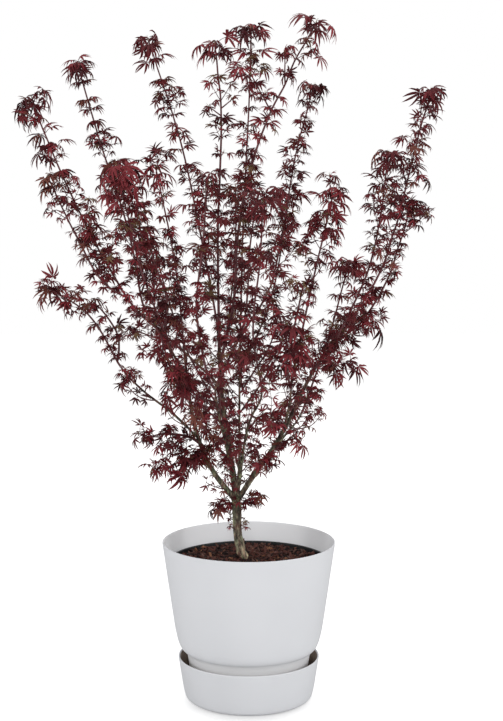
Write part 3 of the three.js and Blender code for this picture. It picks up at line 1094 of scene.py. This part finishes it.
# Side branches of each mass: the share of its length at which they grow, their heading and
# length, how closely they are set with nodes, and their leaves' size
BRANCHES = {
    "high_right": (
        (0.80, (-0.1, -0.5, 0.85), 0.060, 1.0, 1.0),
        (0.72, (-0.45, 0.2, 0.8), 0.080, 0.9, 0.95),
        (0.43, (0.7, -0.5, 0.3), 0.060, 1.0, 1.0),
    ),
    "top_left": (
        (0.75, (-0.75, -0.3, 0.45), 0.040, 0.4, 0.75),
        (0.77, (0.75, -0.2, 0.45), 0.040, 0.4, 0.75),
        (0.12, (-0.2, -0.9, 0.3), 0.050, 1.1, 1.0),
        (0.22, (-0.6, -0.6, 0.4), 0.050, 1.1, 1.0),
    ),
    "top": (
        (0.77, (-0.7, 0.2, 0.5), 0.036, 0.4, 0.75),
        (0.79, (0.7, -0.2, 0.5), 0.036, 0.4, 0.75),
    ),
    "right_inner": (
        (0.12, (-0.5, -0.6, 0.4), 0.050, 1.0, 1.0),
        (0.24, (0.5, -0.5, 0.5), 0.045, 1.0, 1.0),
        (0.30, (0.2, -0.8, 0.4), 0.050, 1.0, 1.0),
    ),
    "right_middle": (
        (0.64, (-0.8, -0.2, 0.4), 0.055, 1.0, 1.0),
        (0.08, (0.6, -0.6, 0.3), 0.045, 1.2, 1.1),
        (0.18, (0.3, -0.8, 0.3), 0.050, 1.2, 1.1),
        (0.80, (-0.8, -0.3, 0.2), 0.050, 1.2, 1.0),
    ),
    "far_right": (
        (0.42, (0.85, -0.3, 0.35), 0.090, 1.0, 1.0),
    ),
    "far_left": (
        (0.85, (-0.8, -0.2, 0.15), 0.045, 0.8, 0.9),
        (0.30, (-0.5, -0.6, 0.4), 0.050, 1.1, 1.1),
        (0.42, (0.3, -0.7, 0.4), 0.050, 1.1, 1.1),
        (0.25, (0.5, -0.7, 0.3), 0.050, 1.1, 1.1),
        (0.36, (-0.2, -0.9, 0.2), 0.050, 1.1, 1.1),
    ),
    "lowest_left": (
        (0.45, (0.2, -0.7, 0.1), 0.045, 1.2, 1.2),
        (0.70, (-0.5, -0.5, 0.1), 0.050, 1.2, 1.2),
        (0.10, (0.3, -0.7, 0.5), 0.050, 1.2, 1.1),
        (0.24, (0.1, -0.8, -0.1), 0.045, 1.2, 1.1),
    ),
    "spray_left": (
        (0.70, (-0.5, -0.6, 0.1), 0.050, 1.2, 1.1),
    ),
    "right_side": (
        (0.30, (-0.4, -0.6, 0.5), 0.050, 1.0, 1.1),
        (0.60, (0.2, -0.7, 0.5), 0.050, 1.0, 1.1),
        (0.12, (-0.1, -0.9, 0.3), 0.050, 1.2, 1.1),
        (0.35, (0.3, -0.8, 0.0), 0.045, 1.2, 1.1),
    ),
    "right_low": (
        (0.12, (0.5, -0.6, 0.2), 0.045, 1.0, 1.0),
    ),
    "left_front": (
        (0.60, (-0.2, -0.6, 0.6), 0.045, 1.2, 1.0),
    ),
    "left_inner": (
        (0.25, (0.4, -0.8, 0.3), 0.050, 1.2, 1.0),
    ),
    "right_foot": (
        (0.50, (0.6, -0.6, 0.2), 0.045, 1.2, 1.1),
    ),
}
# Room round a side branch and round a companion, and the companion's distance from its shoot
BRANCH_GIRTH = 0.014
COMPANION_GIRTH = 0.016
COMPANION_OFFSET = 0.030
# A companion bends away over this many stops, and only a shoot with more stops than the least
# has one. The first starts at this share of the shoot, the others by a step further on
COMPANION_BEND = 9
COMPANION_LEAST = 22
COMPANION_START, COMPANION_STEP = 0.06, 0.12
# Radii of stems at their feet and tips, and of a leaf's stalk at its foot, knee and end
SHOOT_FOOT_RADII = (0.0019, 0.0030)
SHOOT_TIP_RADIUS = 0.0013
COMPANION_RADII = (0.0020, 0.0013)
BRANCH_RADII = (0.0013, 0.0009)
LATERAL_RADIUS = 0.0012
SPUR_RADIUS = 0.0009
STALK_RADII = (0.0006, 0.0005, 0.00045)
STALK_COLOUR = (0.13, 0.030, 0.032)
BUD_COLOUR = (0.20, 0.165, 0.075)
# Chance that a leaf of a spray has a tone of its own
STRAY_TONE = 0.40
# Lengths of the stalks against their leaves, away from a crown and in it
STALK_SHARE = 0.45
TIP_STALK_SHARE = 0.62
# Sizes against the common leaf: up to the first a leaf has few lobes, and above the second it is
# one of a crown. Then the sizes at a node, and each pair's size against the one before
SMALL_LEAF = 0.68
TIP_LEAF = 1.02
NODE_LEAF = (0.56, 0.82)
PAIR_SHRINK = 0.8
# A crown's leaves grow with the girth of a shoot's last stops, between these shares of the
# common length. A shoot above the length has a fuller crown and grows stronger towards it
CROWN_STOPS = 12
CROWN_GIRTH = 0.0155
CROWN_LEAF = (0.9, 1.5)
LONG_SHOOT = 0.2
# Distance between a twig's nodes, and its bends from one to the next. Where there is less room
# than the least, leaves grow in place of a twig, and where there is more girth, some twigs are long
TWIG_NODE_STEP = 0.013
TWIG_BENDS = 2
LEAST_TWIG = 0.004
LONG_TWIG_GIRTH = 0.013
LONG_TWIG_CHANCE = 0.16
# Lengths and spacing of the leafy twigs on a bough, and the part of its length that has them
TWIG_LENGTHS = (0.010, 0.018, 0.030, 0.045, 0.060)
LATERAL_STEP = 0.018
LATERAL_START, LATERAL_STOP = 0.09, 0.97
# Lengths of the buds at a twig's end, at a node and in a crown
TWIG_BUD, SIDE_BUD, CROWN_BUD = 0.0075, 0.0065, 0.010
# Height of each spur on the trunk, and its heading along X and Y
TRUNK_SPURS = (
    (0.294, -1.0, -0.3),
    (0.297, 1.0, -0.4),
    (0.304, 1.0, 0.3),
    (0.309, -0.9, 0.5),
    (0.316, 0.2, 1.0),
    (0.343, 0.1, -1.0),
    (0.347, -0.5, -0.9),
)
# Angles in degrees of a leaf's lobes, and the length of each pair against the middle lobe's
LOBE_ANGLES = {
    7: (0, 33, -33, 68, -68, 112, -112),
    5: (0, 36, -36, 80, -80),
    3: (0, 40, -40),
}
LOBE_LENGTHS = (1.0, 0.92, 0.74, 0.42)


def add_lobe(bm, rng, angle, length, width, bend, fold):
    """One narrow pointed lobe from the leaf's foot, bending down towards its tip."""
    made = bmesh.ops.create_grid(bm, x_segments=2, y_segments=4, size=0.5)
    twist = rng.uniform(-0.25, 0.25)
    ahead = Vector((math.sin(angle), math.cos(angle), 0))
    aside = Vector((math.cos(angle), -math.sin(angle), 0))
    for vert in made["verts"]:
        t, side = vert.co.y + 0.5, vert.co.x * 2
        half = width * math.sin(math.pi * t**0.8) ** 0.8 if 0.01 < t < 0.99 else 0.0
        reach = length * math.sin(bend * t) / bend
        drop = length * (1 - math.cos(bend * t)) / bend
        drift = twist * length * t * t
        vert.co = ahead * reach + aside * (side * half + drift)
        vert.co.z = fold * abs(side) * half - drop


def leaf_shape(rng, lobes, half_width, least_droop):
    """A palmate leaf of narrow lobes whose middle lobe is one unit long, lying along +Y."""
    bm = bmesh.new()
    droop = least_droop + rng.uniform(0.0, 0.65)
    for i, degrees in enumerate(LOBE_ANGLES[lobes]):
        angle = math.radians(degrees + rng.uniform(-6, 6))
        length = LOBE_LENGTHS[(i + 1) // 2] * rng.uniform(0.9, 1.08)
        bend = max(0.15, droop + rng.uniform(-0.25, 0.3))
        half = half_width * rng.uniform(0.85, 1.15)
        add_lobe(bm, rng, angle, length, half, bend, rng.uniform(0.3, 0.8))
    bmesh.ops.remove_doubles(bm, verts=bm.verts, dist=1e-4)
    return triangles_of(bm)


def bud_shape(rng):
    """A slim pointed bud with two folded young leaves, one unit long along +Z."""
    bm = bmesh.new()
    for k in range(2):
        turn = math.pi * k + rng.uniform(-0.4, 0.4)
        made = bmesh.ops.create_cone(
            bm, cap_ends=True, segments=5, radius1=0.07, radius2=0.012, depth=1.0
        )
        for vert in made["verts"]:
            t = vert.co.z + 0.5
            swell = 1 + 1.3 * math.sin(math.pi * min(1, t * 1.2)) * 0.5
            lean = 0.24 * t * t
            vert.co.x = vert.co.x * swell + lean * math.cos(turn)
            vert.co.y = vert.co.y * swell + lean * math.sin(turn)
            vert.co.z = t
    return triangles_of(bm)


def tree_of(points):
    """A finder of the nearest of these points."""
    finder = KDTree(len(points))
    for i, point in enumerate(points):
        finder.insert(point, i)
    finder.balance()
    return finder


def turned_to(ahead, above):
    """The 3x3 turn that takes +Y to ahead and +Z towards above."""
    y_axis = ahead.normalized()
    x_axis = y_axis.cross(above)
    if x_axis.length < 1e-6:
        x_axis = y_axis.orthogonal()
    x_axis.normalize()
    z_axis = x_axis.cross(y_axis)
    return Matrix((x_axis, y_axis, z_axis)).transposed()


def square_to(axis, direction):
    """The unit direction nearest to this one that is square to the axis."""
    return (direction - axis * direction.dot(axis)).normalized()


def quarter_turned(axis, direction, error):
    """The direction made square to the axis and turned round it by a right angle and an error."""
    return Matrix.Rotation(math.pi / 2 + error, 3, axis) @ square_to(axis, direction)


class Growth:
    """Grows shoots, twigs, leaf stalks, leaves and buds, and keeps them as lists."""

    def __init__(self, seed, leaf_length, node_step, crowd):
        self.rng = rng = random.Random(seed)
        self.leaf_length = leaf_length
        self.node_step = node_step
        self.crowd = crowd
        self.leaf_shapes = []
        self.tip_leaves = self.new_shapes((7,) * 5, 0.064, 0.75)
        self.full_leaves = self.new_shapes((7,) * 9, 0.080, 0.5)
        self.small_leaves = self.new_shapes((5, 5, 5, 5, 3, 3), 0.105, 0.5)
        self.bud_shapes = [bud_shape(rng) for _ in range(3)]
        self.shoots, self.twigs, self.stalks, self.buds = [], [], [], []
        self.leaves = {tone: [] for tone in LEAF_TONES}

    def tone(self):
        """A leaf tone for one spray."""
        weights = [share for _colour, share in LEAF_TONES.values()]
        return self.rng.choices(list(LEAF_TONES), weights)[0]

    def wander(self, amount):
        """A small random offset."""
        return Vector([self.rng.gauss(0, amount) for _ in range(3)])

    def any_across(self, axis):
        """A random unit direction square to the axis."""
        angle = self.rng.uniform(0, math.tau)
        return Matrix.Rotation(angle, 3, axis) @ axis.orthogonal().normalized()

    def leaf(self, at, axis, out, size, tone, hang):
        """A leaf on its arching stalk. size is its middle lobe's length, hang runs from 0 to 1."""
        rng = self.rng
        at_tip = size > TIP_LEAF * self.leaf_length
        length = size * (TIP_STALK_SHARE if at_tip else STALK_SHARE) * rng.uniform(0.6, 1.3)
        rise = (out * rng.uniform(0.8, 1.1) + axis * rng.uniform(0.3, 0.9)).normalized()
        level = (out * 0.9 + rise * 0.5 + UP * rng.uniform(0.3, -0.5) * hang).normalized()
        knee = at + rise * length * 0.55
        end = knee + level * length * 0.45
        self.stalks.append(list(zip((at, knee, end), STALK_RADII)))
        lift = rng.uniform(0.1, 0.9) - hang * 1.5
        ahead = (level + UP * lift + axis * rng.uniform(0, 0.3)).normalized()
        above = (UP + out * rng.uniform(-0.4, 1.0) + self.wander(0.2)).normalized()
        turn = turned_to(ahead, above) @ Matrix.Rotation(rng.gauss(0, 0.4), 3, "Y")
        if at_tip:
            shapes = self.tip_leaves
        elif size > SMALL_LEAF * self.leaf_length:
            shapes = self.full_leaves
        else:
            shapes = self.small_leaves
        shape = rng.choice(shapes)
        if rng.random() < STRAY_TONE:
            tone = self.tone()
        self.leaves[tone].append((shape, turn * size, end))

    def new_shapes(self, lobe_counts, half_width, least_droop):
        """Adds a leaf shape for each number of lobes, and gives their numbers in the list."""
        first = len(self.leaf_shapes)
        for lobes in lobe_counts:
            self.leaf_shapes.append(leaf_shape(self.rng, lobes, half_width, least_droop))
        return range(first, len(self.leaf_shapes))

    def fan(self, at, axis, across, size, tone, pairs, hang):
        """Crossed pairs of opposite leaves, each pair smaller than the one before."""
        for _ in range(pairs):
            for side in (1, -1):
                self.leaf(at, axis, across * side, size * self.rng.uniform(0.8, 1.15), tone, hang)
            across = axis.cross(across).normalized()
            size *= PAIR_SHRINK

    def bud(self, at, axis, size):
        """A bud that points along the axis."""
        turn = turned_to(axis.orthogonal(), axis)
        self.buds.append((self.rng.randrange(len(self.bud_shapes)), turn * size, at))

    def twig(self, at, heading, length, radius, size, hang):
        """A twig that bends upward, with a pair of leaves at each node and a fan at its end."""
        rng = self.rng
        nodes = max(1, round(length / TWIG_NODE_STEP))
        steps = nodes * TWIG_BENDS
        across = (heading.orthogonal().normalized() + self.wander(0.3)).normalized()
        point, strand, tone = at.copy(), [(at.copy(), radius)], self.tone()
        for k in range(1, steps + 1):
            heading = (heading + UP * 0.09 + self.wander(0.07)).normalized()
            point = point + heading * (length / steps)
            strand.append((point.copy(), radius * (1 - 0.45 * k / steps)))
            if k % TWIG_BENDS:
                continue
            across = quarter_turned(heading, across, rng.gauss(0, 0.2))
            if k == steps:
                pairs = rng.choices((1, 2, 3), (0.15, 0.6, 0.25))[0]
                self.fan(point, heading, across, size * rng.uniform(0.95, 1.15), tone, pairs, hang)
                if rng.random() < 0.6:
                    self.bud(point, (heading + UP * 0.6).normalized(), TWIG_BUD)
            elif rng.random() < 0.85:
                self.fan(point, heading, across, size * rng.uniform(0.6, 0.9), tone, 1, hang * 0.7)
        self.twigs.append(strand)

    def node(self, point, axis, across, girth, radius, leaf_length, vigour):
        """What grows at one node of a shoot: leaves, spurs or twigs, as far as its girth reaches."""
        rng = self.rng
        size = leaf_length * rng.uniform(*NODE_LEAF) * min(1.25, 0.7 + girth * 20)
        size *= 1 + 0.3 * vigour
        reach = girth * rng.uniform(0.65, 1.5)
        if girth > LONG_TWIG_GIRTH and rng.random() < LONG_TWIG_CHANCE * (1 + vigour):
            reach += rng.uniform(0.012, 0.032)
        for side in (1, -1):
            out = across * side
            spare = reach * rng.uniform(0.8, 1.15) - size * 0.85
            hang = rng.uniform(0.0, 0.7) + 0.35 * vigour
            if spare < LEAST_TWIG:
                aside = (out + across.cross(axis) * 0.6).normalized()
                self.fan(point, axis, aside, size, self.tone(), rng.choice((1, 1, 2)), hang)
                continue
            heading = (out + axis * rng.uniform(0.55, 1.1) + UP * 0.2).normalized()
            self.twig(point, heading, spare * 1.25, max(0.0007, radius * 0.5), size, hang)
            if rng.random() < 0.6:
                self.leaf(point, axis, out, size, self.tone(), hang)
        if rng.random() < 0.10:
            self.bud(point, (axis + across * 0.7).normalized(), SIDE_BUD)

    def within(self, route, size):
        """The route without the end that its crown's leaves reach past, on a level shoot."""
        tip = route[-1][0]
        level = (tip - route[-4][0]).normalized()
        spare = 1.15 * size * math.hypot(level.x, level.y)
        return route[:5] + [stop for stop in route[5:] if (stop[0] - tip).length > spare]

    def shoot(self, route, foot_radius, tip_radius, leafiness, leaf_scale):
        """A whole shoot along a route of (point, girth): its stem, its nodes and its crown."""
        rng = self.rng
        leaf_length = self.leaf_length * leaf_scale
        near_tip = max(girth for _point, girth in route[-CROWN_STOPS:])
        least, most = CROWN_LEAF
        size = leaf_length * min(most, max(least, near_tip / CROWN_GIRTH))
        route = self.within(route, size)
        along = distances(route)
        is_long = along[-1] > LONG_SHOOT
        step = self.node_step / leafiness
        strand, due = [], step * rng.uniform(0.5, 1.0)
        axis = (route[1][0] - route[0][0]).normalized()
        across = self.any_across(axis)
        for i, ((point, girth), travelled) in enumerate(zip(route, along)):
            if i:
                axis = (point - route[i - 1][0]).normalized()
            share = travelled / along[-1]
            radius = foot_radius + (tip_radius - foot_radius) * share
            strand.append((point, radius))
            if travelled < due:
                continue
            vigour = max(0.0, share - 0.5) * 2 if is_long else 0.0
            across = quarter_turned(axis, across, rng.gauss(0, 0.25))
            self.node(point, axis, across, girth, radius, leaf_length, vigour)
            due = travelled + step * rng.uniform(0.7, 1.35) * (1 + 0.35 * vigour)
        self.shoots.append(strand)
        across = square_to(axis, across)
        tone, hang = self.tone(), rng.uniform(0.7, 1.05)
        self.fan(route[-1][0], axis, across, size, tone, 3 if is_long else 2, hang)
        if is_long:
            between = (across + axis.cross(across)).normalized()
            self.fan(route[-3][0], axis, between, size * 0.95, tone, 2, hang)
        self.bud(route[-1][0], axis, CROWN_BUD)

    def emptiest(self, point, axis, reach, tries=7):
        """The unit direction out of a limb, of a few tried, that leads farthest from the others."""
        ways = []
        for _ in range(tries):
            out = self.any_across(axis)
            heading = (out + axis * self.rng.uniform(0.3, 0.9) + UP * 0.3).normalized()
            ways.append((self.crowd.find(point + heading * reach)[2], tuple(heading)))
        return Vector(max(ways)[1])

    def laterals(self, route):
        """Leafy side twigs along most of a limb, each into the emptiest of a few directions."""
        rng = self.rng
        along = distances(route)
        due, stop = along[-1] * LATERAL_START, along[-1] * LATERAL_STOP
        for (back, _radius), (point, _next_radius), travelled in zip(route, route[1:], along[1:]):
            if travelled < due or travelled > stop:
                continue
            due = travelled + LATERAL_STEP * rng.uniform(0.6, 1.4)
            axis = (point - back).normalized()
            length = rng.choice(TWIG_LENGTHS) * rng.uniform(0.8, 1.2)
            heading = self.emptiest(point, axis, length + 0.01)
            size = self.leaf_length * rng.uniform(0.5, 0.85) * min(1.0, 0.6 + length * 15)
            self.twig(point, heading, length, LATERAL_RADIUS, size, rng.uniform(0.2, 0.9))

    def spurs(self, route):
        """Short leafy spurs on the trunk."""
        for height, x, y in TRUNK_SPURS:
            point = min(route, key=lambda stop: abs(stop[0].z - height))[0]
            heading = Vector((x, y, 0.5)).normalized()
            size = self.leaf_length * self.rng.uniform(0.38, 0.5)
            self.twig(point, heading, self.rng.uniform(0.012, 0.018), SPUR_RADIUS, size, 0.4)

    def branch(self, route, share, heading, length, leafiness, leaf_scale):
        """A side branch of a shoot that bends upward and ends in a crown of its own."""
        point = route[round((len(route) - 1) * share)][0]
        heading, made = Vector(heading).normalized(), [(point, BRANCH_GIRTH)]
        for _ in range(max(6, round(length / SHOOT_STEP))):
            heading = (heading + UP * 0.05 + self.wander(0.05)).normalized()
            point = point + heading * SHOOT_STEP
            made.append((point, BRANCH_GIRTH))
        self.shoot(made, *BRANCH_RADII, leafiness, leaf_scale)

    def companion(self, route, start, stop, leaf_scale):
        """A thinner shoot that leaves a shoot and runs beside it in the emptier space."""
        total = len(route) - 1
        first, last = round(total * start), round(total * stop)
        point = route[first][0]
        axis = (route[first + 1][0] - point).normalized()
        middle = route[(first + last) // 2][0]
        aside = square_to(axis, self.emptiest(middle, axis, COMPANION_OFFSET))
        made = []
        for i in range(first, last + 1):
            away = COMPANION_OFFSET * math.sin(min(1.0, (i - first) / COMPANION_BEND) * math.pi / 2)
            made.append((route[i][0] + aside * away, COMPANION_GIRTH))
        self.shoot(made, *COMPANION_RADII, 1.0, leaf_scale)


class MAPLE_OT_foliage(Operator):
    """Grow the shoots, twigs, leaves and buds of every mass"""

    bl_idname = "maple.foliage"
    bl_label = "Foliage"

    def execute(self, context):
        tree = context.scene.maple_tree
        limbs, masses = plant_routes()
        routes = (*limbs.values(), *masses.values())
        crowd = tree_of([point for route in routes for point, _radius in route])
        growth = Growth(tree.seed, tree.leaf_length, tree.node_step, crowd)
        self.grow_masses(growth, tree, limbs, masses)
        for name, route in limbs.items():
            growth.rng.seed(f"{name} {tree.seed}")
            if name == "trunk":
                growth.spurs(route)
            else:
                growth.laterals(route)
        self.build_pieces(growth, tuple(tree.young_bark))
        return {"FINISHED"}

    def grow_masses(self, growth, tree, limbs, masses):
        """Each mass's shoot from the limb that carries it, its companions and its side branches."""
        limb_stops = [stop for route in limbs.values() for stop in route]
        finder = tree_of([point for point, _radius in limb_stops])
        least, most = SHOOT_FOOT_RADII
        for name, route in masses.items():
            growth.rng.seed(f"{name} {tree.seed}")
            mass = name.removeprefix(MASS_PREFIX)
            density, leaf_scale, companions = HABITS.get(mass, COMMON_HABIT)
            _spot, index, _gap = finder.find(route[0][0])
            start, limb_radius = limb_stops[index]
            if (start - route[0][0]).length > 0.001:
                route = [(start, 0.004)] + route
            foot_radius = min(most, max(least, limb_radius * 0.85))
            leafiness = tree.leafiness * density
            growth.shoot(route, foot_radius, SHOOT_TIP_RADIUS, leafiness, leaf_scale)
            for number in range(companions if len(route) > COMPANION_LEAST else 0):
                first = COMPANION_START + COMPANION_STEP * number
                growth.companion(route, first, growth.rng.uniform(0.5, 0.8), leaf_scale)
            for habit in BRANCHES.get(mass, ()):
                growth.branch(route, *habit)

    def build_pieces(self, growth, young_bark):
        """Joins what has grown into one piece for each kind and each tone of leaf."""
        shoot_bark = wood_material("shoot_bark", young_bark, 0.6, 300.0)
        stalk_skin = wood_material("stalk_skin", STALK_COLOUR, 0.55, 300.0)
        bud_skin = leaf_material("bud_skin", BUD_COLOUR)
        pieces = [
            swept("shoots", growth.shoots, shoot_bark, sides=1),
            swept("twigs", growth.twigs, shoot_bark, sides=0),
            swept("leaf_stalks", growth.stalks, stalk_skin, sides=0),
            scattered("buds", growth.bud_shapes, growth.buds, bud_skin),
        ]
        for tone, (colour, _share) in LEAF_TONES.items():
            blade = leaf_material(tone + "_blade", colour)
            pieces.append(scattered(tone, growth.leaf_shapes, growth.leaves[tone], blade))
        for piece in pieces:
            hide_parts(*MASSES)


# ---------------------------------------------------------------- the stage

# Strength of the white sky as a light; the camera sees it at full strength
SKY_LIGHT = 0.50
FLOOR_SIZE = 6
FLOOR_TONE = (0.66, 0.66, 0.66)
# The floor's own glow, which lets it render white. It glows less round the shadow's middle, from
# the first radius to the second, so that the saucer's contact shadow shows
FLOOR_GLOW = 0.66
NEAR_GLOW = 0.28
CONTACT_SHADOW = (0, -0.04, 0)
SHADOW_RADII = (0.075, 0.125)
# Place, size and power of each square lamp, and the point that they face
LAMPS = {
    "left_light": ((-2.58, -1.49, 1.25), 1.2, 25),
    "right_light": ((2.58, -1.49, 1.25), 1.2, 30),
    "front_light": ((-0.1, -3.0, 1.0), 0.8, 14.5),
    "top_light": ((0.1, 0.3, 3.2), 1.8, 30),
    "back_light": ((0.5, 3.0, 1.3), 1.2, 9),
}
LAMP_AIM = Vector((0, 0, 0.55))
SENSOR_WIDTH = 36
CAMERA_SHIFT = 0.0038


class MAPLE_OT_stage(Operator):
    """Set the floor, the lights and the camera"""

    bl_idname = "maple.stage"
    bl_label = "Stage"

    def execute(self, context):
        scene = context.scene
        scene.view_settings.view_transform = "Standard"
        self.set_sky(scene)
        self.add_floor()
        for name, lamp in LAMPS.items():
            self.add_light(name, *lamp)
        self.add_camera(scene)
        return {"FINISHED"}

    def set_sky(self, scene):
        """A white sky that lights the scene at less than the strength that the camera sees."""
        world = bpy.data.worlds.new("studio_white")
        scene.world = world
        world.use_nodes = True
        tree = world.node_tree
        background = tree.nodes["Background"]
        background.inputs["Color"].default_value = (1, 1, 1, 1)
        rays = node(tree, "ShaderNodeLightPath")
        strength = node(
            tree, "ShaderNodeMath", operation="MULTIPLY_ADD", in_1=1 - SKY_LIGHT, in_2=SKY_LIGHT
        )
        tree.links.new(rays.outputs["Is Camera Ray"], strength.inputs[0])
        tree.links.new(strength.outputs[0], background.inputs["Strength"])

    def add_floor(self):
        """A pale floor that glows for the camera, except where the contact shadow lies."""
        material, tree, shader = principled(
            "studio_floor", FLOOR_TONE, 0.9, Emission_Color=(1, 1, 1, 1)
        )
        distance = node(tree, "ShaderNodeVectorMath", operation="DISTANCE", in_1=CONTACT_SHADOW)
        tree.links.new(object_coordinates(tree), distance.inputs[0])
        near, far = SHADOW_RADII
        by_distance = node(
            tree, "ShaderNodeMapRange", in_1=near, in_2=far, in_3=NEAR_GLOW, in_4=FLOOR_GLOW
        )
        tree.links.new(distance.outputs["Value"], by_distance.inputs[0])
        rays = node(tree, "ShaderNodeLightPath")
        glow = node(tree, "ShaderNodeMath", operation="MULTIPLY")
        tree.links.new(rays.outputs["Is Camera Ray"], glow.inputs[0])
        tree.links.new(by_distance.outputs[0], glow.inputs[1])
        tree.links.new(glow.outputs[0], shader.inputs["Emission Strength"])
        bm = bmesh.new()
        bmesh.ops.create_grid(bm, x_segments=1, y_segments=1, size=FLOOR_SIZE)
        mesh = mesh_of("studio_floor", bm)
        mesh.materials.append(material)
        linked("studio_floor", mesh)

    def add_light(self, name, place, size, power):
        """A square area light that faces the middle of the crown."""
        data = bpy.data.lights.new(name, "AREA")
        data.energy = power
        data.size = size
        light = linked(name, data)
        light.location = place
        light.rotation_euler = (LAMP_AIM - Vector(place)).to_track_quat("-Z", "Y").to_euler()

    def add_camera(self, scene):
        """The camera in front of the planter, a little above it and looking down."""
        stage = scene.maple_stage
        data = bpy.data.cameras.new("camera")
        data.lens = stage.lens
        data.sensor_width = SENSOR_WIDTH
        data.shift_x = CAMERA_SHIFT
        camera = linked("camera", data)
        camera.location = (0, -stage.camera_distance, stage.camera_height)
        camera.rotation_euler = (math.pi / 2 - stage.camera_pitch, 0, 0)
        scene.camera = camera


# ---------------------------------------------------------------- add-on


class MAPLE_PT_panel(Panel):
    """Sizes, colours and the pieces of the maple"""

    bl_label = "Potted maple"
    bl_idname = "MAPLE_PT_panel"
    bl_space_type = "VIEW_3D"
    bl_region_type = "UI"
    bl_category = "Maple"

    def draw(self, context):
        layout = self.layout
        for group in (context.scene.maple_pot, context.scene.maple_tree, context.scene.maple_stage):
            box = layout.box()
            for name in group.__annotations__:
                box.prop(group, name)
        for operator in OPERATORS:
            layout.operator(operator.bl_idname)


SETTINGS = {"maple_pot": PotSettings, "maple_tree": TreeSettings, "maple_stage": StageSettings}
OPERATORS = (
    MAPLE_OT_stage,
    MAPLE_OT_saucer,
    MAPLE_OT_planter,
    MAPLE_OT_nursery_pot,
    MAPLE_OT_mulch,
    MAPLE_OT_limbs,
    MAPLE_OT_foliage,
)


def register():
    for group in (*SETTINGS.values(), *OPERATORS, MAPLE_PT_panel):
        bpy.utils.register_class(group)
    for name, group in SETTINGS.items():
        setattr(bpy.types.Scene, name, PointerProperty(type=group))


def unregister():
    for name in SETTINGS:
        delattr(bpy.types.Scene, name)
    for group in reversed((*SETTINGS.values(), *OPERATORS, MAPLE_PT_panel)):
        bpy.utils.unregister_class(group)


def main():
    register()
    for operator in OPERATORS:
        family, name = operator.bl_idname.split(".")
        getattr(getattr(bpy.ops, family), name)()


if __name__ == "__main__":
    main()
